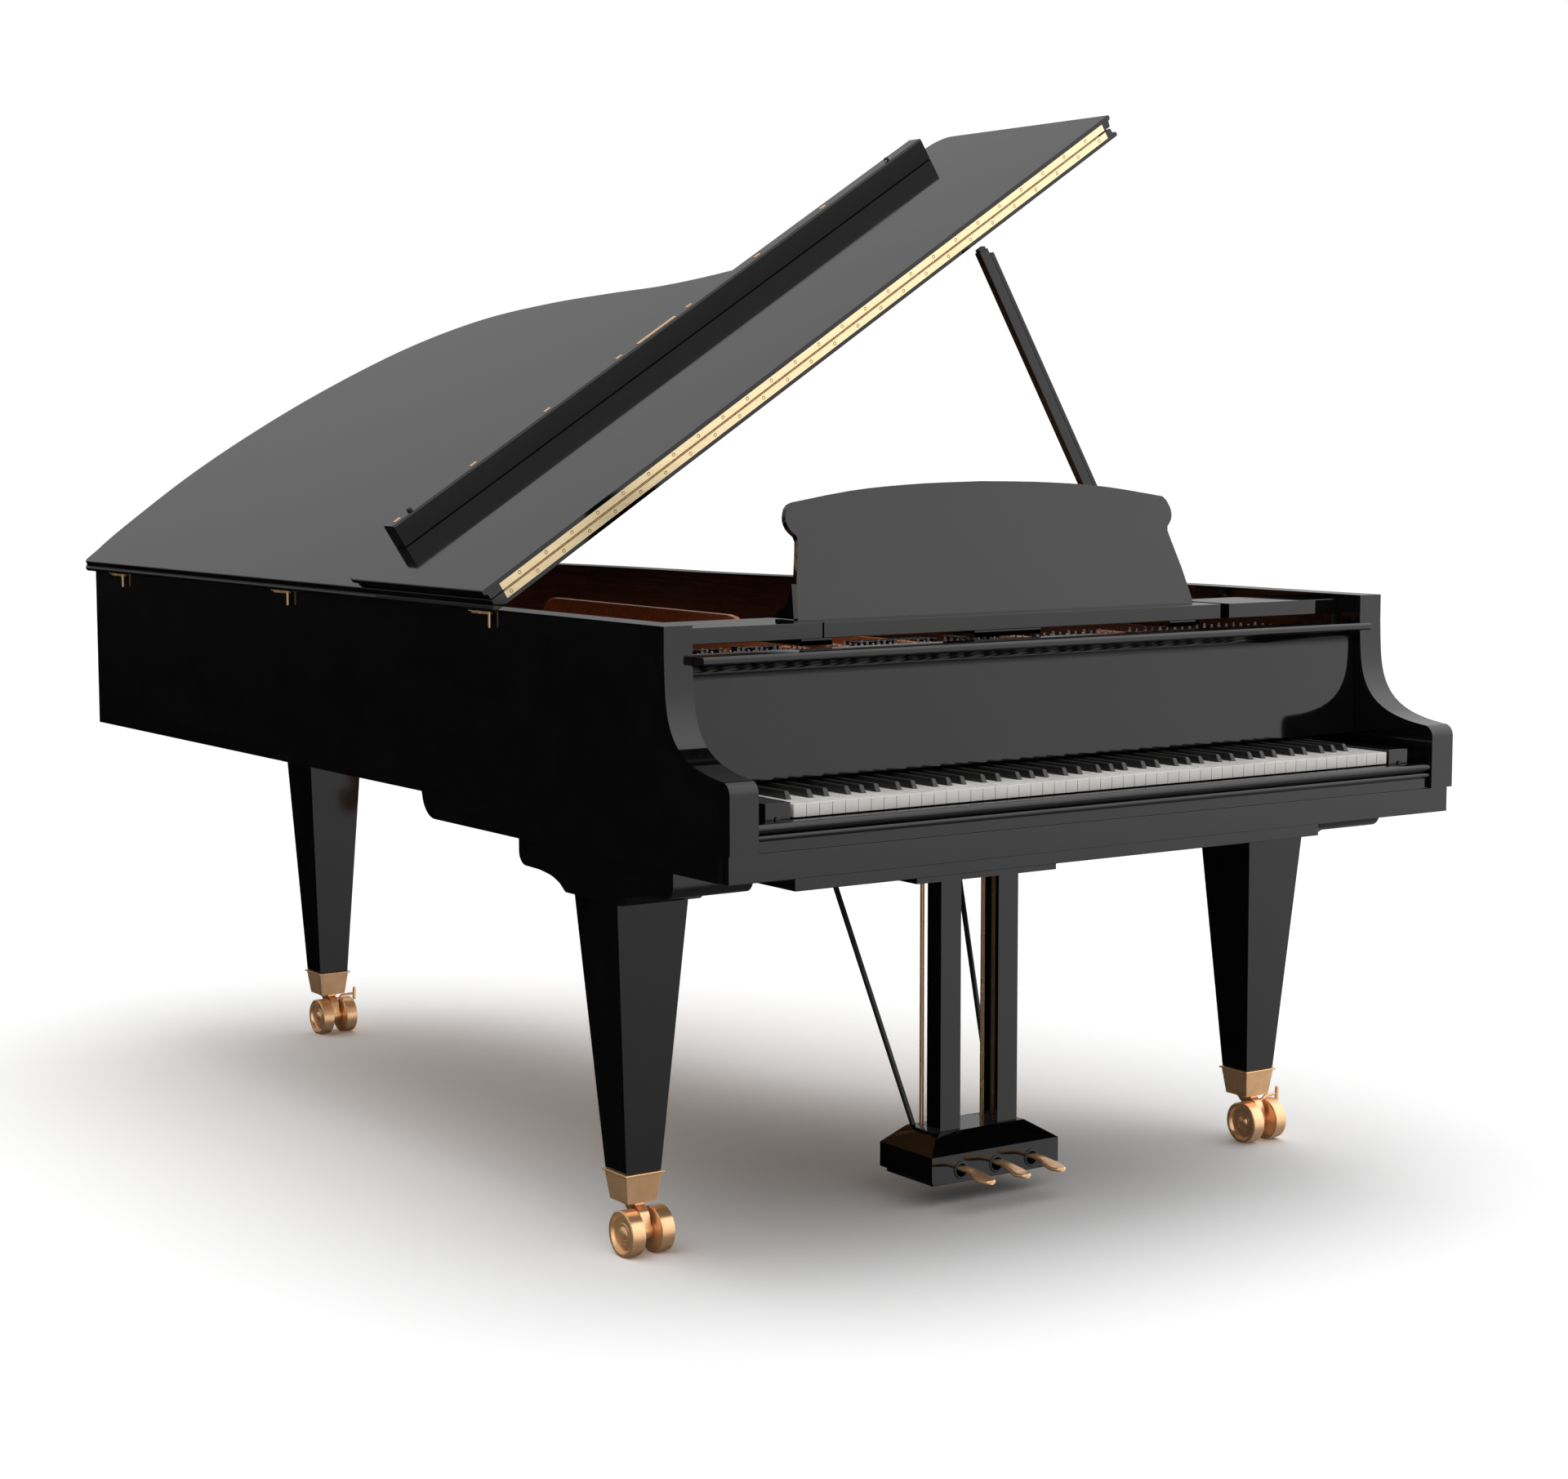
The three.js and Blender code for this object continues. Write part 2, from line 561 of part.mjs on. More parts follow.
function caster(name, x, y) {
  add(`caster_cup_${name}`, join(
    taperedBar(x, y, [[82, 27], [LEG_FOOT, 33.5]]),
    taperedBar(x, y, [[LEG_FOOT - 3, 36.5], [LEG_FOOT, 36.5]]),
  ), brass);
  const axleY = y - TRAIL;
  const armProfile = [
    [y + 18, 82 - GAP], [y + 18, 74], [y - 2, 60], ...arc(axleY, WHEEL_RADIUS, 15, 20, -200, 7),
    [axleY - 10, 66], [y - 20, 82 - GAP],
  ];
  const bore = rod([x - 20, axleY, WHEEL_RADIUS], [x + 20, axleY, WHEEL_RADIUS], 5.6, 12);
  add(`caster_yoke_${name}`, cut(join(
    prism(armProfile.reverse(), 'x', x - 9, x + 9),
    rod([x, y, 76], [x, y, 82 - GAP], 20, 16),
    rod([x - 13, axleY, WHEEL_RADIUS], [x + 13, axleY, WHEEL_RADIUS], 13, 14),
    rod([x, axleY, 50], [x, axleY - 26, 84], 4, 8),
    rod([x - 13, axleY - 27, 85], [x + 13, axleY - 27, 85], 3.2, 8),
  ), bore), brass);
  const FACETS = 24;
  const wheel = (from, to) => {
    const disc = new THREE.CylinderGeometry(WHEEL_RADIUS, WHEEL_RADIUS, to - from, FACETS);
    // half a facet's turn puts a flat under the wheel; scaling brings that flat to the floor
    const flat = 1 / Math.cos(Math.PI / FACETS);
    disc.rotateY(Math.PI / FACETS).scale(flat, 1, flat).rotateZ(Math.PI / 2);
    return disc.translate(x + (from + to) / 2, axleY, WHEEL_RADIUS);
  };
  const recess = (from, to) => rod([x + from, axleY, WHEEL_RADIUS], [x + to, axleY, WHEEL_RADIUS], 27, 16);
  add(`caster_wheels_${name}`, join(
    cut(wheel(14, 40), recess(34, 41)), cut(wheel(-40, -14), recess(-41, -34)),
    rod([x - 37, axleY, WHEEL_RADIUS], [x - 13.4, axleY, WHEEL_RADIUS], 11, 12),
    rod([x + 13.4, axleY, WHEEL_RADIUS], [x + 37, axleY, WHEEL_RADIUS], 11, 12),
    rod([x - 30, axleY, WHEEL_RADIUS], [x + 30, axleY, WHEEL_RADIUS], 5, 8),
  ), brass);
}

for (const [name, side] of [['bass', -1], ['treble', 1]]) {
  const inner = side * 592;
  const outer = side * 735;
  add(`leg_block_${name}`, prism(blockProfile, 'x', Math.min(inner, outer), Math.max(inner, outer)), black);
  leg(`leg_${name}`, side * LEG_X, LEG_Y, BLOCK_BOTTOM - GAP);
  caster(name, side * LEG_X, LEG_Y);
}
leg('leg_tail', ...REAR_LEG, RIM_BOTTOM + 17 - GAP);
caster('tail', ...REAR_LEG);

// ---- pedal lyre ----
add('lyre_frame', cut(join(
  box(-148, 148, 342, 446, 548, 600 - GAP),
  box(-82, -40, 362, 400, BOX_TOP + GAP, 550),
  box(40, 82, 362, 400, BOX_TOP + GAP, 550),
), ...ROD_X.map((x) => rod([x, ROD_Y, 540], [x, ROD_Y, 610], 6))), black);

const boxHip = stack([
  [[-135, 315, 49], [135, 315, 49], [135, 461, 49], [-135, 461, 49]],
  [[-135, 315, 91], [135, 315, 91], [135, 461, 91], [-135, 461, 91]],
  [[-94, 357, BOX_TOP], [94, 357, BOX_TOP], [94, 440, BOX_TOP], [-94, 440, BOX_TOP]],
]);
add('pedal_box', cut(boxHip,
  box(-123, 123, 327, 449, 40, 84),
  ...PEDAL_X.map((x) => rod([x, 300, 63], [x, 340, 63], 14, 20)),
  ...ROD_X.map((x) => rod([x, ROD_Y, 80], [x, ROD_Y, 130], 6)),
), black);
add('pedal_box_base', box(-127, 127, 323, 453, 40, 49 - GAP), satin);

PEDAL_X.forEach((x, n) => {
  const name = ['left', 'middle', 'right'][n];
  const halfPlan = [[8, 432], [8, 300], [9, 288], [14, 272], [15.5, 256]];
  const tip = arc(x, 256, 15.5, 0, -180, 10).slice(1, -1);
  const plan = [
    ...halfPlan.map(([w, y]) => [x + w, y]), ...tip, ...[...halfPlan].reverse().map(([w, y]) => [x - w, y]),
  ].reverse();
  const side = [
    [230, 52], [262, 51], [300, 61], [318, 63], [432, 63], [432, 71.5], [318, 71.5], [296, 69], [262, 58.5],
    [240, 58.5], [230, 57],
  ];
  add(`pedal_${name}`, common(prism(plan, 'z', 40, 90), prism(side, 'x', x - 30, x + 30)), brass);
  add(`pedal_rod_${name}`, join(
    rod([ROD_X[n], ROD_Y, 76.5], [ROD_X[n], ROD_Y, 590], 4),
    box(Math.min(x, ROD_X[n]) - 5, Math.max(x, ROD_X[n]) + 5, ROD_Y - 5, ROD_Y + 5, 72.5, 77),
  ), brass);
});
for (const [name, side] of [['bass', -1], ['treble', 1]]) {
  add(`lyre_brace_${name}`, common(
    rod([side * 85, 430, 110], [side * 150, 648, 645], 5, 10),
    box(-300, 300, 300, 800, BOX_TOP + GAP, KEYBED_BOTTOM - GAP),
  ), satin);
}

piano.position.set(-FOOTPRINT_X, -FOOTPRINT_Y, 0);
const model = new THREE.Group();
model.add(piano);
export default model;
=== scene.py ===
"""A grand piano in black polyester, its lid raised and its prop up, in a white studio.

Shapes are written in the case's own frame, in millimetres: X to the treble, Y to the tail, Z up, from the
floor below the middle of the keyboard's front. piece() moves them into the row frame, in metres.
"""
import math

import bmesh
import bpy
from mathutils import Matrix, Vector


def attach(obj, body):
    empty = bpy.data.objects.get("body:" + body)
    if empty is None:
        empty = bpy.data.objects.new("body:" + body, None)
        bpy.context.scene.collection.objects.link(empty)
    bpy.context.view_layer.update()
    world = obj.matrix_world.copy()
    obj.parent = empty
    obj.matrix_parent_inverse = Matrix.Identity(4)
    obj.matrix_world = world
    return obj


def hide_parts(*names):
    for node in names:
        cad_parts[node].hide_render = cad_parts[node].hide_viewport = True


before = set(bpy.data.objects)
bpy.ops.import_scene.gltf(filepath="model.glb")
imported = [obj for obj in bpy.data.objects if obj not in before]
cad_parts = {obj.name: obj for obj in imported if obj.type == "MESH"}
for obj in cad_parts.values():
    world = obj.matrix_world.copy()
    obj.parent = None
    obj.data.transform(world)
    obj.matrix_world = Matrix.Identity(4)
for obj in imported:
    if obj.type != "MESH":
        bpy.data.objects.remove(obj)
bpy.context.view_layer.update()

MM = 0.001
ORIGIN = Vector((-19, 1261.35, 0))  # the row frame's origin in the case's frame

# ---- sizes shared with the CAD ----
HALF_CASE, RIM_WALL, RIM_TOP, RIM_BOTTOM, KEYBED_BOTTOM = 741, 50, 1004.5, 683, 640
INNER = HALF_CASE - RIM_WALL
ARM_BACK = 175
KEY_PITCH, NATURALS, KEY_TOP, KEY_BOTTOM, KEY_FRONT, SHARP_FRONT = 23.5, 52, 747.5, 727.5, 28, 78
KEY_REAR, SHARP_REAR, SHARP_RISE = 300, 260, 12
FREE_NATURALS = {23: "key_c4", 24: "key_d4", 25: "key_e4"}
FREE_SHARPS = {23: "key_c4_sharp", 24: "key_d4_sharp"}
SHARP_LEAN = {0: 4, 2: -3, 3: 3, 5: -4, 6: 0}
LID_ANGLE, HINGE_X, HINGE_Z = math.radians(32.4), -748, 1002.4
LID_THICK, LID_UNDER, LID_OVERHANG, LID_STRETCH = 20, 3.6, 16, 1.0172
FOLD_Y, FLAP_DEPTH, FOLD_GAP, FOLD_LINE = 660, 503, 2, 658.3
FOLD_AXIS = LID_UNDER + LID_THICK + FOLD_GAP / 2
FLAP_BOTTOM = LID_UNDER + LID_THICK + FOLD_GAP
FLAP_TOP = FLAP_BOTTOM + LID_THICK
STRUTS = [(-560, -600), (-330, -420), (-95, -230), (130, -60), (345, 130)]
STRUT_FRONT_Y, STRUT_REAR_Y = 270, 2600
STRING_Z = 869.2
LEG_X, LEG_Y, REAR_LEG = 659, 406, (-303, 2254)
WHEEL_RADIUS, TRAIL = 37, 26
BENTSIDE = [
    (741, 600), (722, 712), (648, 812), (500, 958), (368, 1165), (304, 1363), (268, 1540), (252, 1725),
    (226, 1945), (174, 2155), (72, 2320), (-80, 2432), (-250, 2492), (-433, 2505), (-640, 2462), (-741, 2416),
]


# ---- plane curves ----
def spline(points, steps):
    """A Catmull-Rom curve through the points, as steps + 1 points."""
    last = len(points) - 1
    out = []
    for k in range(steps + 1):
        place = last * k / steps
        i = min(int(place), last)
        w = place - i
        quad = [points[max(i - 1, 0)], points[i], points[min(i + 1, last)], points[min(i + 2, last)]]
        point = []
        for a, b, c, d in zip(*quad):
            v0, v1 = (c - a) / 2, (d - b) / 2
            cubic, square = 2 * b - 2 * c + v0 + v1, -3 * b + 3 * c - 2 * v0 - v1
            point.append(cubic * w**3 + square * w**2 + v0 * w + b)
        out.append(tuple(point))
    return out


def arc(cx, cy, radius, start, end, steps=8):
    angles = [math.radians(start + (end - start) * i / steps) for i in range(steps + 1)]
    return [(cx + radius * math.cos(a), cy + radius * math.sin(a)) for a in angles]


def grown(outline, distance):
    """Every point of a counter-clockwise outline moved outward along its corner's normal."""
    count, out = len(outline), []
    for i, (x, y) in enumerate(outline):
        px, py = outline[i - 1]
        nx, ny = outline[(i + 1) % count]
        before = Vector((y - py, px - x)).normalized()
        after = Vector((ny - y, x - nx)).normalized()
        normal = (before + after).normalized()
        reach = distance / max(0.5, normal.dot(after))
        out.append((x + normal.x * reach, y + normal.y * reach))
    return out


def distance_to(outline, x, y):
    """How far a point is from the nearest side of an outline."""
    best = 1e9
    for i, (ax, ay) in enumerate(outline):
        bx, by = outline[(i + 1) % len(outline)]
        dx, dy = bx - ax, by - ay
        t = min(1, max(0, ((x - ax) * dx + (y - ay) * dy) / (dx * dx + dy * dy)))
        best = min(best, math.hypot(ax + t * dx - x, ay + t * dy - y))
    return best


def inside_case(distance):
    """The case's outline moved inward, without the points that fold over in its corners."""
    return [p for p in grown(CASE, -distance) if distance_to(CASE, *p) > distance - 0.4]


def holds(outline, x, y):
    """True when the point is inside the outline."""
    inside = False
    for i, (ax, ay) in enumerate(outline):
        bx, by = outline[i - 1]
        if (ay > y) != (by > y) and x < (bx - ax) * (y - ay) / (by - ay) + ax:
            inside = not inside
    return inside


CASE = [(-HALF_CASE, 0), (HALF_CASE, 0), *spline(BENTSIDE, 280)]
INSIDE = inside_case(RIM_WALL)


# ---- solids: (vertices, faces) in the case's frame ----
def box(x0, x1, y0, y1, z0, z1):
    return prism([(x0, y0), (x1, y0), (x1, y1), (x0, y1)], "z", z0, z1)


def prism(outline, along, low, high):
    """An outline made solid along an axis: 'z' takes x,y; 'x' takes y,z; 'y' takes x,z."""
    place = {
        "z": lambda a, b, c: (a, b, c), "x": lambda a, b, c: (c, a, b), "y": lambda a, b, c: (a, c, b),
    }[along]
    count = len(outline)
    verts = [place(a, b, c) for c in (low, high) for a, b in outline]
    faces = [(i, (i + 1) % count, (i + 1) % count + count, i + count) for i in range(count)]
    return verts, [tuple(range(count))[::-1], tuple(range(count, 2 * count)), *faces]


def stack(rings):
    """Closed rings of equal length joined into one solid with flat ends."""
    count, verts, faces = len(rings[0]), [v for ring in rings for v in ring], []
    for r in range(len(rings) - 1):
        for i in range(count):
            j = (i + 1) % count
            faces.append((r * count + i, r * count + j, (r + 1) * count + j, (r + 1) * count + i))
    last = (len(rings) - 1) * count
    return verts, [tuple(range(count))[::-1], tuple(range(last, last + count)), *faces]


def tube(path, radius, sides=12):
    """A round bar along a path; radius may be one number or one for each point."""
    radii = radius if isinstance(radius, (list, tuple)) else [radius] * len(path)
    points = [Vector(p) for p in path]
    rings, side = [], None
    for i, point in enumerate(points):
        ahead = (points[min(i + 1, len(points) - 1)] - points[max(i - 1, 0)]).normalized()
        if side is None:
            side = ahead.orthogonal().normalized()
        side = (side - ahead * side.dot(ahead)).normalized()
        other = ahead.cross(side)
        rings.append([
            tuple(point + (side * math.cos(a) + other * math.sin(a)) * radii[i])
            for a in (2 * math.pi * k / sides for k in range(sides))
        ])
    return stack(rings)


def lathe(profile, centre, axis="x", sides=48):
    """Rings of (place along the axis, radius) round an axis through centre."""
    rings = []
    for along, radius in profile:
        ring = []
        for k in range(sides):
            a = 2 * math.pi * (k + 0.5) / sides
            c, s = radius * math.cos(a), radius * math.sin(a)
            offset = {"x": (along, s, c), "y": (c, along, s), "z": (c, s, along)}[axis]
            ring.append(tuple(p + o for p, o in zip(centre, offset)))
        rings.append(ring)
    return stack(rings)


def merged(*solids):
    verts, faces = [], []
    for more_verts, more_faces in solids:
        offset = len(verts)
        verts += more_verts
        faces += [tuple(i + offset for i in face) for face in more_faces]
    return verts, faces


def carved(base, add=(), cut=()):
    """Boolean union and difference, returning vertices and faces."""
    temporary = []

    def body(solid):
        mesh = bpy.data.meshes.new("temporary")
        mesh.from_pydata(solid[0], [], solid[1])
        work = bmesh.new()
        work.from_mesh(mesh)
        bmesh.ops.recalc_face_normals(work, faces=work.faces)
        work.to_mesh(mesh)
        work.free()
        obj = bpy.data.objects.new("temporary", mesh)
        bpy.context.scene.collection.objects.link(obj)
        temporary.append(obj)
        return obj

    target = body(base)
    for operation, tools in (("UNION", add), ("DIFFERENCE", cut)):
        for tool in tools:
            modifier = target.modifiers.new("carve", "BOOLEAN")
            modifier.operation, modifier.solver, modifier.object = operation, "EXACT", body(tool)
    graph = bpy.context.evaluated_depsgraph_get()
    result = target.evaluated_get(graph).to_mesh()
    verts = [tuple(v.co) for v in result.vertices]
    faces = [tuple(p.vertices) for p in result.polygons]
    for obj in temporary:
        mesh = obj.data
        bpy.data.objects.remove(obj)
        bpy.data.meshes.remove(mesh)
    return verts, faces


# ---- materials ----
def material(name, color, roughness, metallic=0.0):
    mat = bpy.data.materials.new(name)
    mat.use_nodes = True
    shader = mat.node_tree.nodes["Principled BSDF"]
    shader.inputs["Base Color"].default_value = (*color, 1)
    shader.inputs["Roughness"].default_value = roughness
    shader.inputs["Metallic"].default_value = metallic
    return mat


def noise(mat, scale, stretch=(1, 1, 1), detail=4, turn=0):
    tree = mat.node_tree
    coords = tree.nodes.new("ShaderNodeTexCoord")
    mapping = tree.nodes.new("ShaderNodeMapping")
    mapping.inputs["Scale"].default_value = stretch
    mapping.inputs["Rotation"].default_value = (0, 0, turn)
    texture = tree.nodes.new("ShaderNodeTexNoise")
    texture.inputs["Scale"].default_value = scale
    texture.inputs["Detail"].default_value = detail
    tree.links.new(coords.outputs["Object"], mapping.inputs["Vector"])
    tree.links.new(mapping.outputs["Vector"], texture.inputs["Vector"])
    return texture.outputs["Fac"]


def vary(mat, socket, source, low, high):
    """Runs a texture through a ramp into one of the shader's sockets; low and high are numbers or colours."""
    tree = mat.node_tree
    shader = tree.nodes["Principled BSDF"]
    if isinstance(low, (tuple, list)):
        ramp = tree.nodes.new("ShaderNodeValToRGB")
        ramp.color_ramp.elements[0].position, ramp.color_ramp.elements[1].position = 0.35, 0.65
        ramp.color_ramp.elements[0].color, ramp.color_ramp.elements[1].color = (*low, 1), (*high, 1)
        tree.links.new(source, ramp.inputs["Fac"])
        tree.links.new(ramp.outputs["Color"], shader.inputs[socket])
        return
    spread = tree.nodes.new("ShaderNodeMapRange")
    spread.inputs["From Min"].default_value, spread.inputs["From Max"].default_value = 0.3, 0.7
    spread.inputs["To Min"].default_value, spread.inputs["To Max"].default_value = low, high
    tree.links.new(source, spread.inputs["Value"])
    tree.links.new(spread.outputs["Result"], shader.inputs[socket])


def bump(mat, source, strength, distance=0.0005):
    tree = mat.node_tree
    node = tree.nodes.new("ShaderNodeBump")
    node.inputs["Strength"].default_value = strength
    node.inputs["Distance"].default_value = distance
    tree.links.new(source, node.inputs["Height"])
    tree.links.new(node.outputs["Normal"], tree.nodes["Principled BSDF"].inputs["Normal"])


def detailed(name, color, darker, roughness, metallic=0.0, grain=(1, 1, 1), scale=40, relief=0.05, turn=0):
    """A material whose colour, roughness and relief vary along a grain."""
    mat = material(name, color, roughness[0], metallic)
    texture = noise(mat, scale, grain, turn=turn)
    vary(mat, "Base Color", texture, darker, color)
    vary(mat, "Roughness", noise(mat, scale * 0.3, grain, 2, turn), *roughness)
    bump(mat, texture, relief)
    return mat


black = detailed("black_polyester", (0.0034, 0.0034, 0.0037), (0.0022, 0.0022, 0.0024), (0.045, 0.075),
                 scale=14, relief=0.006)
satin = detailed("black_lacquer", (0.010, 0.010, 0.010), (0.006, 0.006, 0.006), (0.22, 0.34),
                 scale=90, relief=0.03)
mahogany = detailed("mahogany_veneer", (0.050, 0.018, 0.011), (0.024, 0.009, 0.006), (0.16, 0.26),
                    grain=(1, 1, 22), scale=9, relief=0.04)
bronze = detailed("plate_bronze", (0.74, 0.27, 0.105), (0.62, 0.21, 0.08), (0.32, 0.44), 0.45,
                  scale=160, relief=0.10)
brass = detailed("polished_brass", (0.96, 0.60, 0.33), (0.90, 0.53, 0.27), (0.20, 0.32), 0.72,
                 scale=45, relief=0.02)
pale_brass = detailed("hinge_brass", (0.98, 0.80, 0.50), (0.94, 0.75, 0.45), (0.28, 0.38), 0.8,
                      grain=(0.4, 6, 6), scale=90, relief=0.02)
# painted shade: a brass darkened to stand for the shade in the hinge's crease and round its screws, used on
# the knuckles and screw heads
brass_painted_shade = detailed("hinge_barrel", (0.42, 0.27, 0.12), (0.30, 0.19, 0.08), (0.30, 0.42), 0.9, scale=90)
steel = detailed("string_steel", (0.66, 0.66, 0.68), (0.48, 0.48, 0.50), (0.22, 0.36), 1.0,
                 scale=120, relief=0.03)
copper = detailed("wound_copper", (0.70, 0.34, 0.19), (0.50, 0.22, 0.12), (0.28, 0.42), 1.0,
                  grain=(1, 30, 1), scale=60, relief=0.3)
spruce = detailed("spruce", (0.60, 0.36, 0.15), (0.40, 0.21, 0.08), (0.26, 0.40),
                  grain=(30, 1, 1), scale=5, relief=0.06, turn=0.5)
maple = detailed("maple", (0.56, 0.38, 0.22), (0.42, 0.27, 0.15), (0.35, 0.5), grain=(1, 14, 1), scale=12)
ivory = detailed("white_keys", (0.74, 0.72, 0.695), (0.70, 0.68, 0.655), (0.16, 0.28), scale=30, relief=0.01)
ebony = detailed("black_keys", (0.014, 0.013, 0.013), (0.006, 0.006, 0.006), (0.30, 0.42),
                 grain=(14, 1, 14), scale=30, relief=0.12)
felt = detailed("white_felt", (0.78, 0.75, 0.68), (0.62, 0.59, 0.52), (0.92, 1.0), scale=900, relief=0.5)
red_felt = detailed("red_felt", (0.30, 0.02, 0.02), (0.20, 0.012, 0.012), (0.92, 1.0), scale=900, relief=0.5)
rubber = detailed("black_rubber", (0.02, 0.02, 0.02), (0.012, 0.012, 0.012), (0.5, 0.65),
                  scale=200, relief=0.1)


# ---- pieces ----
def rounded(obj, width, angle=35, segments=2):
    """Rounds every edge sharper than the angle; width is in millimetres."""
    bevel = obj.modifiers.new("edges", "BEVEL")
    bevel.width, bevel.segments, bevel.limit_method = width * MM, segments, "ANGLE"
    bevel.angle_limit, bevel.harden_normals = math.radians(angle), True
    obj.modifiers.new("normals", "WEIGHTED_NORMAL").keep_sharp = False


def piece(name, solid, mat, body, replaces=(), matrix=None, edge=0.0, angle=35, segments=2):
    """Makes a solid a Blender object that rides a body and stands in for the replaced CAD nodes."""
    verts = [(matrix @ Vector(v) if matrix else Vector(v)) - ORIGIN for v in solid[0]]
    mesh = bpy.data.meshes.new(name)
    mesh.from_pydata([tuple(v * MM) for v in verts], [], solid[1])
    work = bmesh.new()
    work.from_mesh(mesh)
    bmesh.ops.remove_doubles(work, verts=work.verts, dist=2e-6)
    bmesh.ops.recalc_face_normals(work, faces=work.faces)
    work.to_mesh(mesh)
    work.free()
    mesh.shade_smooth()
    mesh.materials.append(mat)
    obj = bpy.data.objects.new(name, mesh)
    bpy.context.scene.collection.objects.link(obj)
    if edge:
        rounded(obj, edge, angle, segments)
    else:
        mesh.set_sharp_from_angle(angle=math.radians(angle))
        weighted = obj.modifiers.new("normals", "WEIGHTED_NORMAL")
        weighted.keep_sharp, weighted.weight = True, 90
    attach(obj, body)
    if replaces:
        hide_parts(*replaces)
    return obj


def dress(node, mat, edge=1.2, angle=35):
    """Gives a CAD node its finished material and softened edges."""
    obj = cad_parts[node]
    obj.data.materials.clear()
    obj.data.materials.append(mat)
    custom = obj.data.attributes.get("custom_normal")
    if custom:
        obj.data.attributes.remove(custom)
    obj.data.shade_smooth()
    weld = obj.modifiers.new("weld", "WELD")
    weld.merge_threshold = 2e-5
    rounded(obj, edge, angle)


LID = Matrix.Translation((HINGE_X, 0, HINGE_Z)) @ Matrix.Rotation(-LID_ANGLE, 4, "Y")


# ---- case ----
def case_rim():
    """The rim with its swept arms and the skirts beside the keybed, then the music tray's two ledges."""
    hole = [(x, -100 if y < 100 else y) for x, y in INSIDE]
    sweep = [
        *spline([(ARM_BACK, 960), (171, 897), (160, 857), (138, 828), (104, 808), (62, 796), (22, 790)], 60),
        *arc(20, 770, 20, 90, 180, 16), (0, 700), (-50, 700), (-50, RIM_TOP + 10), (ARM_BACK, RIM_TOP + 10),
    ]
    skirts = []
    for side, end in ((-1, 958), (1, 640)):
        profile = [
            (30, KEYBED_BOTTOM), (end - 52, KEYBED_BOTTOM),
            *arc(end - 52, KEYBED_BOTTOM + 46, 46, -84, -20, 14),
            (end, RIM_BOTTOM + 20), (30, RIM_BOTTOM + 20),
        ]
        low, high = sorted((side * INNER, side * HALF_CASE))
        skirts.append(prism(profile, "x", low, high))
    ledges = [box(*sorted((side * 680, side * 700)), 232, 610, 955, 970.7) for side in (-1, 1)]
    return carved(
        prism(CASE, "z", RIM_BOTTOM, RIM_TOP), add=skirts,
        cut=[prism(hole, "z", RIM_BOTTOM - 60, RIM_TOP + 1), prism(sweep, "x", -800, 800),
             box(-800, 800, -10, 30, 600, 682.6)],
    ), ledges


rim_solid, rim_ledges = case_rim()
piece("rim_shell", rim_solid, black, "case", replaces=["case_rim"], edge=1.6, angle=32, segments=3)
for ledge, word in zip(rim_ledges, ("bass", "treble")):
    piece(f"desk_runner_{word}", ledge, satin, "case", edge=0.8)


def lining(line, inset, z0, z1):
    """A thin band along an open line, inset toward the middle of the case."""
    inner = []
    for i, (x, y) in enumerate(line):
        ax, ay = line[max(i - 1, 0)]
        bx, by = line[min(i + 1, len(line) - 1)]
        across = Vector((by - ay, ax - bx)).normalized()
        inner.append((x + across.x * inset, y + across.y * inset))
    return prism([*line, *inner[::-1]], "z", z0, z1)


# the mahogany veneer that lines the rim from behind the desk round the tail
LINING_START = 640
first = next(i for i, point in enumerate(INSIDE) if point[1] > LINING_START)
lined = [*INSIDE[first:], (-INNER, LINING_START)]
piece("rim_lining", lining(lined, -1.2, 800, RIM_TOP - 2.5), mahogany, "case", angle=30)

# CAD nodes that stay visible: finish, edge radius and names
FINISHES = [
    (black, 1.0, ("keybed", "keybed_board", "key_slip", "key_block_bass", "key_block_treble",
                  "leg_block_bass", "leg_block_treble", "leg_bass", "leg_treble", "leg_tail", "lyre_frame",
                  "pedal_box", "desk_shelf_bass", "desk_shelf_treble", "fallboard", "prop_bracket")),
    (black, 1.8, ("music_desk",)),
    (black, 1.4, ("lid_lip",)),
    (satin, 0.8, ("desk_strut", "pedal_box_base")),
    (satin, 0.4, ("lyre_brace_bass", "lyre_brace_treble")),
    (spruce, 0.6, ("soundboard",)),
    (spruce, 2.0, ("bracing",)),
    (maple, 0.4, ("action",)),
    (bronze, 1.6, ("iron_plate",)),
]
for finish, edge_radius, nodes in FINISHES:
    for node in nodes:
        dress(node, finish, edge_radius)


# ---- lid ----
def moulding(outline, bottom, bead_at_bottom):
    """A board with a square fold edge; its other edges carry a bead, a fillet and a hollow."""
    section = [(0, -2.2), (0.5, -1.2), (1.3, -0.4), (2.4, 0), (4, 0), (5.4, 0), (7.0, -0.5), (8.0, -1.4),
               (8.6, -2.6), (8.8, -4.2), *spline([(9.2, -4.6), (11, -6.2), (14, -6.9), (17.4, -7.2)], 8),
               (18.8, -7.6), (19.6, -8.4), (20, -9.6)]
    levels = section if bead_at_bottom else [(LID_THICK - z, d) for z, d in reversed(section)]
    return stack([[(x, max(y, FOLD_Y), bottom + z) for x, y in grown(outline, d)] for z, d in levels])


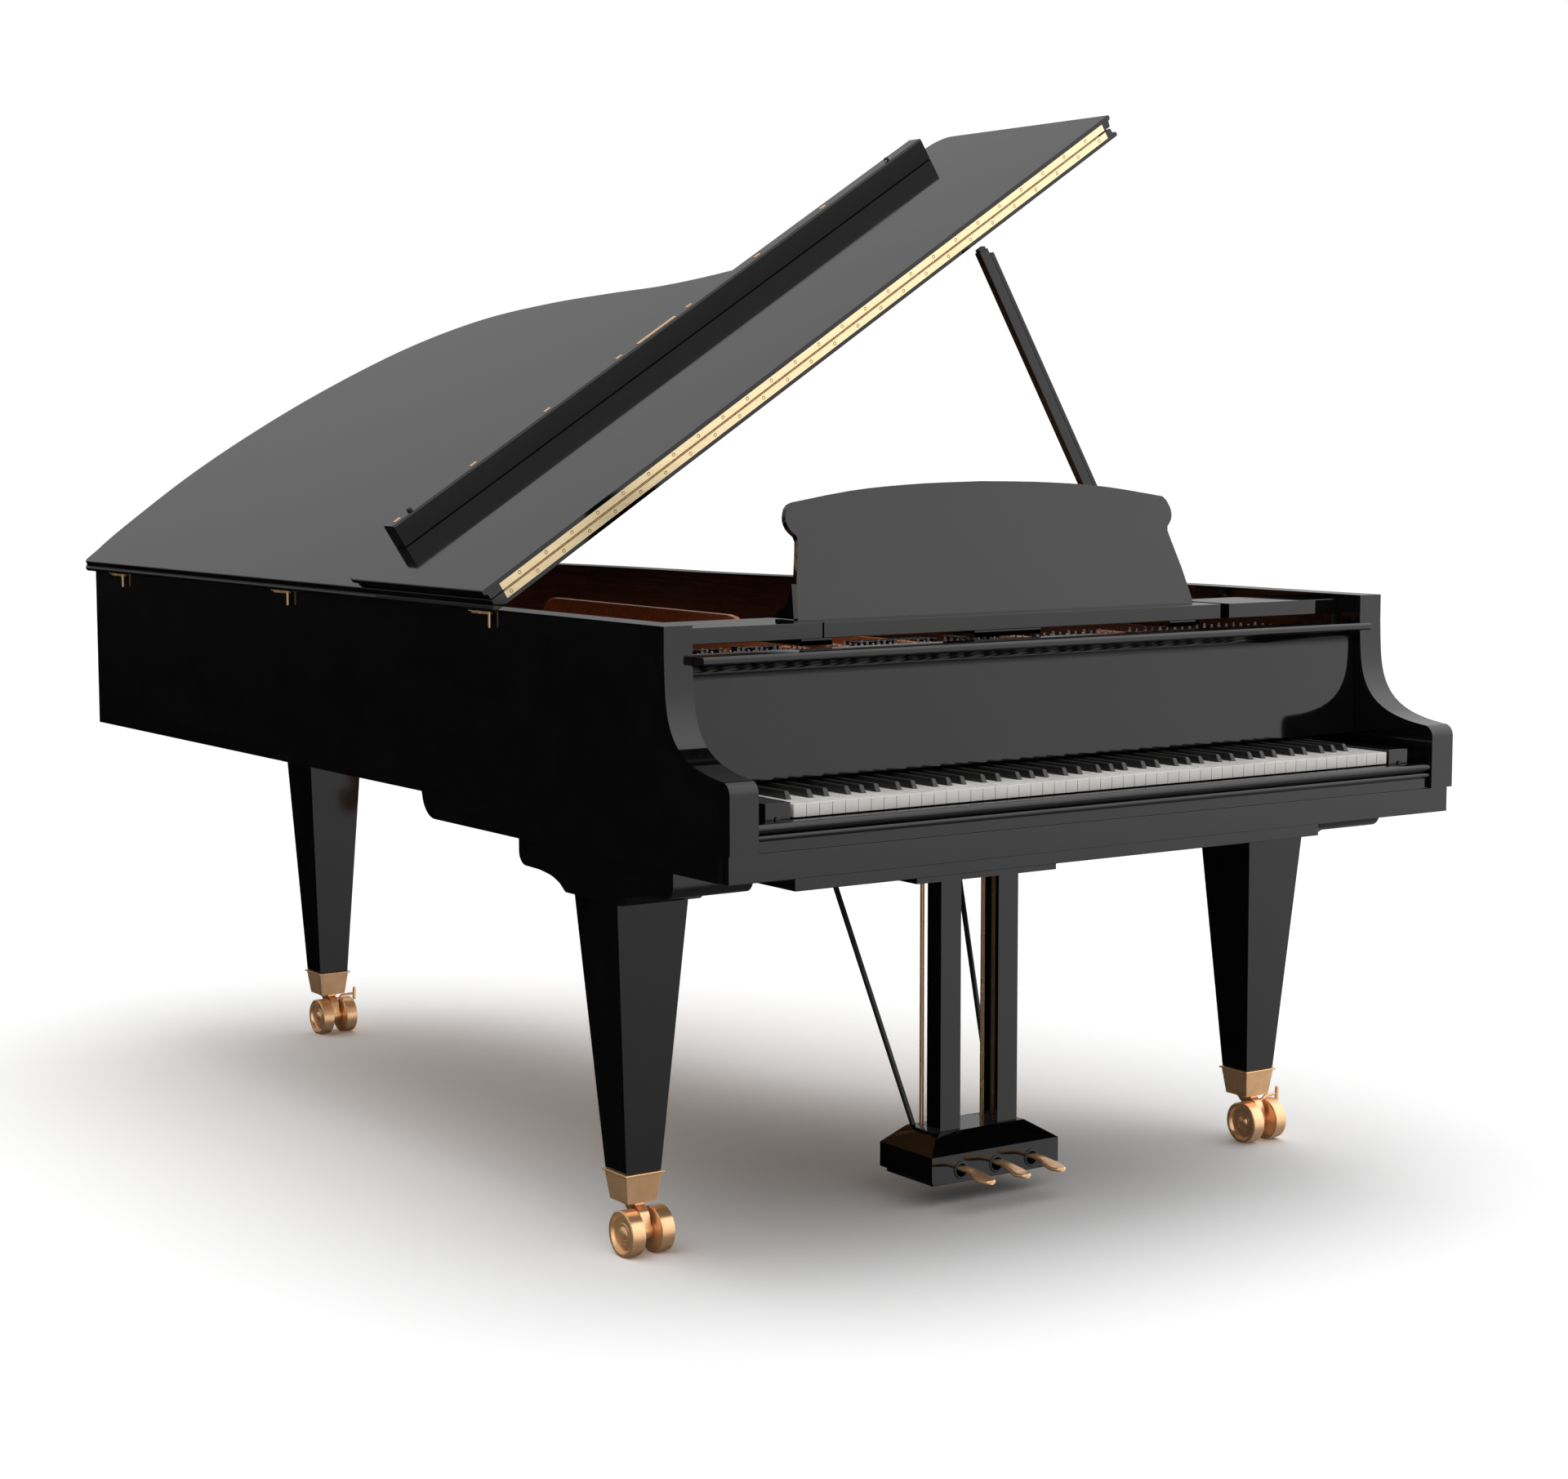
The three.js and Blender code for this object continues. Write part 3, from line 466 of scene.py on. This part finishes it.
LID_PLAN = [
    ((x + HALF_CASE + LID_OVERHANG) * LID_STRETCH - HALF_CASE - LID_OVERHANG - HINGE_X, y)
    for x, y in grown(CASE, LID_OVERHANG - 0.3)
]
LID_LEFT, LID_RIGHT = min(p[0] for p in LID_PLAN), max(p[0] for p in LID_PLAN)
main_outline = [
    (LID_LEFT, FOLD_Y - 20), (LID_RIGHT, FOLD_Y - 20),
    *[(x, y) for x, y in LID_PLAN if y > FOLD_Y + 5 and x > LID_LEFT + 40],
    *arc(LID_LEFT + 26, 2416, 26, 106, 180, 12),
]
piece("lid_panel", moulding(main_outline, LID_UNDER, True), black, "lid", replaces=["lid_main"],
      matrix=LID, angle=16)
flap_outline = [
    (LID_LEFT, FOLD_Y - 20), (LID_RIGHT, FOLD_Y - 20),
    *arc(LID_RIGHT - 40, FOLD_Y + FLAP_DEPTH - 40, 40, 0, 90, 20),
    *arc(LID_LEFT + 40, FOLD_Y + FLAP_DEPTH - 40, 40, 90, 180, 20),
]
piece("flap_panel", moulding(flap_outline, FLAP_BOTTOM, False), black, "lid_flap",
      replaces=["lid_flap"], matrix=LID, angle=16)

# the long hinge: two leaves, alternating knuckles and countersunk screws; knuckles and screws are in a darker
# brass that paints the shade in the hinge's crease and round its screws
LEAF_START, LEAF_END = 24, LID_RIGHT - 24
KNUCKLE, SCREW_STEP = 24, 58
SCREW_HEAD = [(0.6, 0.3), (0.1, 1.6), (-0.1, 2.6), (-0.12, 3.2), (0.5, 3.5)]
for word, body, node, side in (("lid", "lid", "flap_hinge_lid_leaf", -1),
                               ("flap", "lid_flap", "flap_hinge_flap_leaf", 1)):
    leaf_low, leaf_high = sorted((FOLD_AXIS + side * 1.9, FOLD_AXIS + side * 13.8))
    leaf = box(LEAF_START, LEAF_END, FOLD_Y - 1.2, FOLD_Y - 0.3, leaf_low, leaf_high)
    barrel = []
    for k in range(int((LEAF_END - LEAF_START) / KNUCKLE)):
        if (k % 2 == 0) == (side > 0):
            x = LEAF_START + k * KNUCKLE
            ends = [(x + 0.4, FOLD_LINE, FOLD_AXIS), (x + KNUCKLE - 0.4, FOLD_LINE, FOLD_AXIS)]
            barrel.append(tube(ends, 1.25, 10))
    piece(f"hinge_leaf_{word}", leaf, pale_brass, body, replaces=[node], matrix=LID, angle=40)
    piece(f"hinge_barrel_{word}", merged(*barrel), brass_painted_shade, body, matrix=LID, angle=40)
    screws = []
    for k in range(int((LEAF_END - LEAF_START - 20) / SCREW_STEP) + 1):
        x = LEAF_START + 12 + (k + (0.5 if side > 0 else 0)) * SCREW_STEP
        if x < LEAF_END - 6:
            screws.append(lathe(SCREW_HEAD, (x, FOLD_Y - 1.25, FOLD_AXIS + side * 8.2), "y", 14))
    piece(f"hinge_screws_{word}", merged(*screws), brass_painted_shade, body, matrix=LID, angle=40)

# small brass pads, a brass plate and two rubber buffers on the lip
LIP_TOP, LIP_MIDDLE = FLAP_TOP + 44, 1108
pads = [box(x - 7, x + 7, LIP_MIDDLE - 4, LIP_MIDDLE + 2, LIP_TOP - 0.6, LIP_TOP + 0.8)
        for x in range(112, 1420, 178)]
piece("lip_pads", merged(*pads), brass, "lid_flap", matrix=LID, edge=0.3)
strike = box(690, 786, LIP_MIDDLE - 8, LIP_MIDDLE, LIP_TOP - 0.6, LIP_TOP + 0.7)
piece("lip_strike", strike, brass, "lid_flap", matrix=LID, edge=0.3)
buffers = [lathe([(-1, 5), (3, 5), (4.4, 4), (5, 2)], (x, LIP_MIDDLE, LIP_TOP), "z", 20) for x in (142, 1358)]
piece("lip_buffers", merged(*buffers), rubber, "lid_flap", matrix=LID)

# three pinned hinges on the bass side
BARREL_STEP, BARREL_GAP = 12.4, 0.8
for place, y in (("front", 700), ("middle", 1464), ("rear", 2256)):
    knuckles = []
    for low in (y + k * BARREL_STEP for k in range(5)):
        ends = [(HINGE_X, low, HINGE_Z), (HINGE_X, low + BARREL_STEP - BARREL_GAP, HINGE_Z)]
        knuckles.append(tube(ends, 3.0, 20))
    bend = [(y + 40, HINGE_Z), (y - 3, HINGE_Z), (y - 5.4, HINGE_Z - 0.8), (y - 6.4, HINGE_Z - 3),
            (y - 6.4, 977), (y - 6.4, 974.4)]
    handle = tube([(HINGE_X, *point) for point in bend], [1.6, 2.2, 2.3, 2.3, 2.5, 1.2], 14)
    plate = box(-HALF_CASE - 3.2, -HALF_CASE - 0.4, y, y + 62, 996, 1001)
    piece(f"lid_knuckles_{place}", merged(*knuckles, handle, plate), brass, "case",
          replaces=[f"lid_hinge_{place}"], angle=40)

# ---- prop: it stands just in front of the lid's edge and doesn't touch the lid ----
PROP_FOOT, PROP_LEAN = (584, 640, 978), math.radians(30.6)
PROP = Matrix.Translation(PROP_FOOT) @ Matrix.Rotation(-PROP_LEAN, 4, "Y")
stick = merged(
    box(-9.8, 9.8, -7.8, 7.8, 4, 729), box(-7.5, 7.5, -6, 6, 728, 734.5),
    box(10.6, 19, -7, 7, 92, 716), box(10.2, 23.8, -6.4, 6.4, 92, 190),
    lathe([(-7.9, 0.5), (-7.9, 11), (-6.7, 12.3), (6.7, 12.3), (7.9, 11), (7.9, 0.5)], (0, 0, 0), "y", 32),
)
piece("prop_stick", stick, black, "lid_prop", replaces=["lid_prop"], matrix=PROP, edge=1.8)
screw = lathe([(-8.9, 1), (-8.9, 4.2), (-8.4, 5.4), (8.4, 5.4), (8.9, 4.2), (8.9, 1)], (0, 0, 0), "y", 24)
piece("prop_pin", screw, brass, "lid_prop", matrix=PROP, angle=40)


# ---- keyboard ----
def key_left(i):
    return (i - NATURALS / 2) * KEY_PITCH


def has_sharp(i):
    return i % 7 in SHARP_LEAN and 0 <= i < NATURALS - 1


def sharp_centre(i):
    return key_left(i + 1) + SHARP_LEAN[i % 7]


def natural(i):
    left, right = key_left(i) + 0.45, key_left(i + 1) - 0.45
    shoulder_left = sharp_centre(i - 1) + 6.0 if has_sharp(i - 1) else left
    shoulder_right = sharp_centre(i) - 6.0 if has_sharp(i) else right
    cut = SHARP_FRONT - 2.2
    plan = [(left, KEY_FRONT), (right, KEY_FRONT), (right, cut), (shoulder_right, cut),
            (shoulder_right, KEY_REAR - 1), (shoulder_left, KEY_REAR - 1), (shoulder_left, cut), (left, cut)]
    clean = [p for k, p in enumerate(plan) if p != plan[k - 1]]
    return prism(clean, "z", KEY_BOTTOM, KEY_TOP)


def sharp(i):
    x = sharp_centre(i)
    top = KEY_TOP + SHARP_RISE
    # height, half width and where the front slope stands at that height
    levels = [(KEY_BOTTOM + 1, 5.0, SHARP_FRONT), (KEY_TOP, 4.9, SHARP_FRONT + 2),
              (top - 2, 4.1, SHARP_FRONT + 8), (top, 3.0, SHARP_FRONT + 10)]
    return stack([
        [(x - half, front, z), (x + half, front, z), (x + half, SHARP_REAR, z), (x - half, SHARP_REAR, z)]
        for z, half, front in levels
    ])


LAST_BASS, FIRST_TREBLE = 22, 26
for word, span in (("bass", range(0, LAST_BASS + 1)), ("treble", range(FIRST_TREBLE, NATURALS))):
    piece(f"naturals_{word}", merged(*[natural(i) for i in span]), ivory, "case",
          replaces=[f"keys_{word}"], edge=0.7)
    blacks = [sharp(i) for i in span if has_sharp(i)]
    piece(f"sharps_{word}", merged(*blacks), ebony, "case", edge=0.9, angle=20)
for i, name in FREE_NATURALS.items():
    piece(f"{name}_top", natural(i), ivory, name, replaces=[name], edge=0.7)
for i, name in FREE_SHARPS.items():
    piece(f"{name}_top", sharp(i), ebony, name, replaces=[name], edge=0.9, angle=20)

# dark wood below the keys' fronts and a round button on each key block
piece("key_front_rail", box(-612, 612, 30, 58, 705, 713.5), satin, "case", edge=0.5)
BUTTON = [(0.5, 0.4), (0.5, 3.4), (-0.5, 4.2), (-2.2, 4.2), (-2.8, 3.4), (-2.8, 0.4)]
buttons = [lathe(BUTTON, (x, 27.8, 727), "y", 20) for x in (-640, 640)]
piece("block_buttons", merged(*buttons), rubber, "case")


# ---- music desk: the tray's boards and the bracket that holds the panel ----
TRAY_RAILS = [(-384, 30), (0, 70), (384, 30)]  # middle and half width of the rails between the boards
TRAY_HALF = 414
tray = [box(-TRAY_HALF, TRAY_HALF, *sides) for sides in (
    (230, 293, 971, 996), (505, 545, 955, 967), (281, 299, 967.5, 972),
)]
tray += [box(middle - half, middle + half, 292, 506, 955, 967) for middle, half in TRAY_RAILS]
piece("desk_tray_boards", merged(*tray), black, "desk", replaces=["desk_tray"], edge=1.2)
cheek = [(297, 997), (297, 1000), (303, 1052),
         *spline([(304, 1052), (311, 1035), (318, 1022), (329, 1014), (341, 1010), (349, 1003)], 24),
         (349, 997)]
piece("desk_cheek_bass", prism(cheek, "x", -425, -415.5), black, "desk", edge=0.8)


# ---- strings, bridge, pins and dampers ----
def lane(front_x, y):
    """Where a string that crosses the front line at front_x lies at y, fanned between the plate's struts."""
    fronts, rears = [-760, *[s[0] for s in STRUTS], 760], [-790, *[s[1] for s in STRUTS], 560]
    for a, b, c, d in zip(fronts, fronts[1:], rears, rears[1:]):
        if a <= front_x <= b:
            rear = c + (d - c) * (front_x - a) / (b - a)
    return front_x + (rear - front_x) * (y - STRUT_FRONT_Y) / (STRUT_REAR_Y - STRUT_FRONT_Y)


# the plate's raised front web, which carries the tuning pins, with a rib over it at every strut
WEB_TOP = 930
web = carved(box(-682, 682, 252, 470, 863.5, WEB_TOP),
             cut=[box(-700, 700, 240, 266, WEB_TOP - 14, WEB_TOP + 5)])
piece("plate_web", web, bronze, "case", edge=4.0, segments=3)
ribs = [box(front - 8, front + 8, 268, 468, WEB_TOP - 1, WEB_TOP + 12) for front, rear in STRUTS]
piece("plate_ribs", merged(*ribs), bronze, "case", edge=3.0, segments=3)
# one strut rises high behind the bass shelf
TALL_STRUT_X = -215
blade = [
    (440, 915), (470, 874), (1452, 874), (1450, 920), *arc(1400, 926, 48, 0, 90, 10), (800, 972),
    *spline([(780, 969), (762, 958), (745, 948), (720, 945)], 8), (440, 938),
]
piece("tall_strut", prism(blade, "x", TALL_STRUT_X - 7, TALL_STRUT_X + 7), bronze, "case",
      edge=3.0, segments=3)
FIRST_STRING, STRINGS_WIDTH, STRING_COUNT, BASS_END, SPEAKING_START = -655, 1300, 150, -330, 500
PIN = [(0, 3.3), (13, 3.3), (13.6, 2.6), (19, 2.0)]
bed = inside_case(RIM_WALL + 52)
starts = [FIRST_STRING + k * STRINGS_WIDTH / (STRING_COUNT - 1) for k in range(STRING_COUNT)]
starts = [x for x in starts if all(abs(x - front) > 17 for front, rear in STRUTS)]
plain, wound, tuning, hitch, agraffes = [], [], [], [], []
for k, x in enumerate(starts):
    end = SPEAKING_START + 60
    while holds(bed, lane(x, end + 12), end + 12) and end < 2360:
        end += 12
    if end < SPEAKING_START + 80:
        continue
    pin_y = 330 + (k % 4) * 26
    start_x, end_x = lane(x, SPEAKING_START), lane(x, end)
    path = [(lane(x, pin_y), pin_y, WEB_TOP + 6), (lane(x, 468), 468, WEB_TOP + 1.5),
            (start_x, SPEAKING_START, STRING_Z + 1.5), (end_x, end, STRING_Z)]
    bass = x < BASS_END
    (wound if bass else plain).append(tube(path, 1.5 if bass else 0.75, 6))
    tuning.append(lathe(PIN, (lane(x, pin_y) + 3.4, pin_y, WEB_TOP - 0.4), "z", 8))
    hitch.append(lathe([(0, 2.2), (8, 2.2), (8.8, 1.4)], (end_x, end - 2, 863.5), "z", 8))
    agraffes.append(box(start_x - 3.2, start_x + 3.2, SPEAKING_START - 3, SPEAKING_START + 3, 863, 876))
piece("plain_strings", merged(*plain), steel, "case", replaces=["strings"], angle=60)
piece("wound_strings", merged(*wound), copper, "case", angle=60)
piece("tuning_pins", merged(*tuning), steel, "case", angle=50)
piece("hitch_pins", merged(*hitch), steel, "case", angle=50)
piece("agraffes", merged(*agraffes), brass, "case", edge=0.5)
bridge_line = spline([(520, 800), (330, 1050), (150, 1330), (20, 1640), (-120, 1900), (-330, 2080)], 70)
piece("bridge", carved(lining(bridge_line, 14, 850.4, 867.4), add=[lining(bridge_line, -14, 850.4, 867.4)]),
      maple, "case", edge=0.8)

DAMPER_Y = 610


def damper_fits(x):
    """True where a damper stands clear of every strut and of both ends of the row."""
    clear = all(abs(x - lane(front, DAMPER_Y)) > 16 for front, rear in STRUTS)
    return clear and -596 < x < 320 and abs(x - TALL_STRUT_X) > 14


damper_blocks, damper_felts = [], []
for x in (lane(front, DAMPER_Y) for front in range(-640, 340, 14)):
    if damper_fits(x):
        damper_blocks.append(box(x - 4.6, x + 4.6, 590, 632, 909, 931))
        damper_felts.append(box(x - 4.0, x + 4.0, 592, 630, 906.2, 909))
piece("damper_heads", merged(*damper_blocks), black, "case", replaces=["dampers"], edge=0.8)
piece("damper_felts", merged(*damper_felts), felt, "case", edge=0.3)
piece("listing_felt", box(-560, 560, 452, 470, 864.2, 867.6), red_felt, "case", edge=0.4)


# ---- casters ----
def caster(name, x, y):
    """A twin wheel in a yoke under a cup, with a brake lever on all but the bass leg."""
    r = WHEEL_RADIUS
    axle = (x, y - TRAIL, r)
    wheels = []
    for s in (-1, 1):
        profile = [
            (14, 11), (14, r - 2), (15.5, r), (38.5, r), (40, r - 1.6), (40, r - 5), (39, r - 6.5),
            (35, r - 8), (33.5, r - 9.5), (33.5, 17), (34.5, 15.5), (34.5, 12), (37.5, 10), (39.2, 6.5),
            (39.6, 1),
        ]
        ring = [(s * a, b) for a, b in profile]
        wheels.append(lathe(ring, axle, "x", 56))
    hub = lathe([(-14.5, 10.8), (-13.6, 10.8), (-13.6, 5.2), (13.6, 5.2), (13.6, 10.8), (14.5, 10.8)],
                axle, "x", 40)
    piece(f"wheels_{name}", merged(*wheels, hub), brass, f"caster_wheels_{name}",
          replaces=[f"caster_wheels_{name}"], angle=32)
    side = [(y + 17, 81.6), (y + 17, 76), (y + 10, 69), (y - 2, 61), *arc(y - TRAIL, r, 14.6, 25, -205, 24),
            (y - TRAIL - 11, 62), (y - TRAIL - 4, 72), (y - 19, 77), (y - 19, 81.6)]
    piece(f"yoke_{name}", merged(
        prism(side[::-1], "x", x - 8.6, x + 8.6),
        lathe([(-5.6, 13), (-4.6, 18), (0, 19.6), (0, 1)], (x, y, 81.6), "z", 40),
        lathe([(-13, 6), (-13, 11.6), (-12, 12.8), (12, 12.8), (13, 11.6), (13, 6)], axle, "x", 40),
    ), brass, f"caster_yoke_{name}", replaces=[f"caster_yoke_{name}"], edge=0.9, angle=32)
    lever = merged(
        tube([(x + 5, y - TRAIL, 54), (x + 12, y - TRAIL + 2, 70), (x + 22, y - TRAIL + 2, 78.3),
              (x + 47, y - TRAIL + 2, 79)], 2.6, 14),
        tube([(x + 50, y - TRAIL + 1, 66), (x + 50, y - TRAIL + 1, 69), (x + 51, y - TRAIL + 1, 90),
              (x + 51, y - TRAIL + 1, 93)], [2.4, 3.6, 3.6, 2.4], 16),
    )
    if name != "bass":
        piece(f"brake_{name}", lever, brass, f"caster_yoke_{name}", angle=40)
    dress(f"caster_cup_{name}", brass, 0.8)


caster("bass", -LEG_X, LEG_Y)
caster("treble", LEG_X, LEG_Y)
caster("tail", *REAR_LEG)


# ---- pedals ----
def pedal(x):
    """A flat arm that widens into a crowned spoon."""
    crown = 3.6
    stations = []
    for k in range(25):
        y = 231 + k * (300 - 231) / 24
        if y < 252:
            half = 16.2 * math.sqrt(max(0.02, 1 - ((252 - y) / 21.4) ** 2))
        else:
            t = min(1, (y - 252) / 36)
            half = 16.2 - 6.6 * t * t * (3 - 2 * t)
        t = min(1, max(0, (y - 240) / 56))
        drop = 8.2 * (1 - t * t * (3 - 2 * t))
        stations.append((y, half, 67.4 - drop))
    stations += [(340, 8.0, 67.4), (431, 8.0, 67.4)]
    rings = []
    for y, half, z in stations:
        ring = []
        for k in range(20):
            a = 2 * math.pi * k / 20
            c, s = math.cos(a), math.sin(a)
            across = half * math.copysign(abs(c) ** 0.5, c)
            ring.append((x + across, y, z + crown * math.copysign(abs(s) ** 0.65, s)))
        rings.append(ring)
    return stack(rings)


BUSH = [(0.4, 11.2), (-1.6, 11.2), (-2.2, 12.6), (-1.4, 14.6), (0.4, 15.2)]
for name, x, rod_x in (("left", -74, -74), ("middle", 1, 1), ("right", 76, 56)):
    piece(f"pedal_{name}_spoon", pedal(x), brass, f"pedal_{name}", replaces=[f"pedal_{name}"],
          angle=50)
    piece(f"lift_rod_{name}", merged(
        lathe([(0, 3.4), (0.6, 4.0), (512, 4.0), (513, 3.0)], (rod_x, 425, 76.7), "z", 20),
        box(min(x, rod_x) - 4.8, max(x, rod_x) + 4.8, 420.2, 429.8, 72.2, 76.8),
    ), brass, f"pedal_rod_{name}", replaces=[f"pedal_rod_{name}"], angle=40)
    piece(f"pedal_bush_{name}", lathe(BUSH, (x, 314.9, 63), "y", 40), rubber, "case", angle=40)

# ---- floor, light and camera ----
floor_mesh = bpy.data.meshes.new("floor")
floor_mesh.from_pydata([(-60, -60, 0), (60, -60, 0), (60, 60, 0), (-60, 60, 0)], [], [(0, 1, 2, 3)])
floor = bpy.data.objects.new("floor", floor_mesh)
bpy.context.scene.collection.objects.link(floor)
floor_paint = material("floor_white", (0.90, 0.90, 0.90), 0.9)
floor_paint.node_tree.nodes["Principled BSDF"].inputs["Specular IOR Level"].default_value = 0
floor_mesh.materials.append(floor_paint)
floor.visible_glossy = False


def area_light(name, place, target, size, power):
    light = bpy.data.lights.new(name, "AREA")
    light.shape, light.size, light.size_y, light.energy = "RECTANGLE", size[0], size[1], power
    obj = bpy.data.objects.new(name, light)
    bpy.context.scene.collection.objects.link(obj)
    obj.location = place
    obj.rotation_mode = "QUATERNION"
    obj.rotation_quaternion = (Vector(target) - Vector(place)).to_track_quat("-Z", "Y")
    obj.visible_glossy = False


area_light("overhead", (0.3, 0.2, 6.0), (0, 0.2, 0), (5, 5), 60)

world = bpy.data.worlds.new("studio")
bpy.context.scene.world = world
world.use_nodes = True
tree = world.node_tree
tree.nodes.clear()
coords = tree.nodes.new("ShaderNodeTexCoord")


def toward(direction, start, end, low, high):
    """A soft patch of light in one direction of the sky."""
    dot = tree.nodes.new("ShaderNodeVectorMath")
    dot.operation = "DOT_PRODUCT"
    dot.inputs[1].default_value = Vector(direction).normalized()
    tree.links.new(coords.outputs["Generated"], dot.inputs[0])
    spread = tree.nodes.new("ShaderNodeMapRange")
    spread.interpolation_type = "SMOOTHSTEP"
    for socket, value in (("From Min", start), ("From Max", end), ("To Min", low), ("To Max", high)):
        spread.inputs[socket].default_value = value
    tree.links.new(dot.outputs["Value"], spread.inputs["Value"])
    return spread.outputs["Result"]


def combined(a, b, operation="ADD"):
    """Two strengths of light added, or multiplied."""
    node = tree.nodes.new("ShaderNodeMath")
    node.operation = operation
    for socket, value in zip(node.inputs, (a, b)):
        if isinstance(value, (int, float)):
            socket.default_value = value
        else:
            tree.links.new(value, socket)
    return node.outputs["Value"]


# what polished surfaces see: a pale wall in front, a faint sky, a faint patch at the treble side, and
# nothing at the bass side or below
front_wall = toward((0.56, -0.83, 0), -0.1, 0.6, 0.0, 1.05)
above_floor = toward((0, 0, 1), -0.55, -0.05, 0.08, 1.0)
front_glow = combined(front_wall, above_floor, "MULTIPLY")
sky_glow = toward((0, 0, 1), -0.1, 0.5, 0.0, 0.55)
right_glow = toward((1, 0, 0.1), 0.3, 1.0, 0.0, 0.5)
reflected = combined(combined(front_glow, sky_glow), right_glow)
# what lights the floor and everything dull: a dome, faint at the sides and strong overhead
dome = toward((0, 0, 1), 0.45, 0.95, 0.28, 2.1)
light_path = tree.nodes.new("ShaderNodeLightPath")


def choose(test, no, yes):
    """One of two strengths of light, by the kind of ray."""
    mix = tree.nodes.new("ShaderNodeMix")
    mix.data_type = "FLOAT"
    tree.links.new(test, mix.inputs[0])
    for socket, value in ((mix.inputs[2], no), (mix.inputs[3], yes)):
        if isinstance(value, (int, float)):
            socket.default_value = value
        else:
            tree.links.new(value, socket)
    return mix.outputs[0]


seen = choose(light_path.outputs["Is Glossy Ray"], dome, reflected)
strength = choose(light_path.outputs["Is Camera Ray"], seen, 1.0)
background = tree.nodes.new("ShaderNodeBackground")
output = tree.nodes.new("ShaderNodeOutputWorld")
tree.links.new(strength, background.inputs["Strength"])
tree.links.new(background.outputs["Background"], output.inputs["Surface"])
background.inputs["Color"].default_value = (1, 1, 1, 1)

CAMERA_PLACE, CAMERA_YAW, CAMERA_PITCH, CAMERA_ROLL = (-3029.2, -3482.0, 1289.3), 34.380, 5.982, -0.07
camera_data = bpy.data.cameras.new("camera")
camera_data.sensor_width, camera_data.lens = 36, 67.44
camera_data.clip_start, camera_data.clip_end = 0.05, 200
camera = bpy.data.objects.new("camera", camera_data)
bpy.context.scene.collection.objects.link(camera)
camera.location = (Vector(CAMERA_PLACE) - ORIGIN) * MM
yaw = Matrix.Rotation(-math.radians(CAMERA_YAW), 4, "Z")
pitch = Matrix.Rotation(math.radians(90 - CAMERA_PITCH), 4, "X")
roll = Matrix.Rotation(math.radians(CAMERA_ROLL), 4, "Z")
camera.rotation_euler = (yaw @ pitch @ roll).to_euler()
bpy.context.scene.camera = camera
bpy.context.scene.view_settings.view_transform = "Standard"
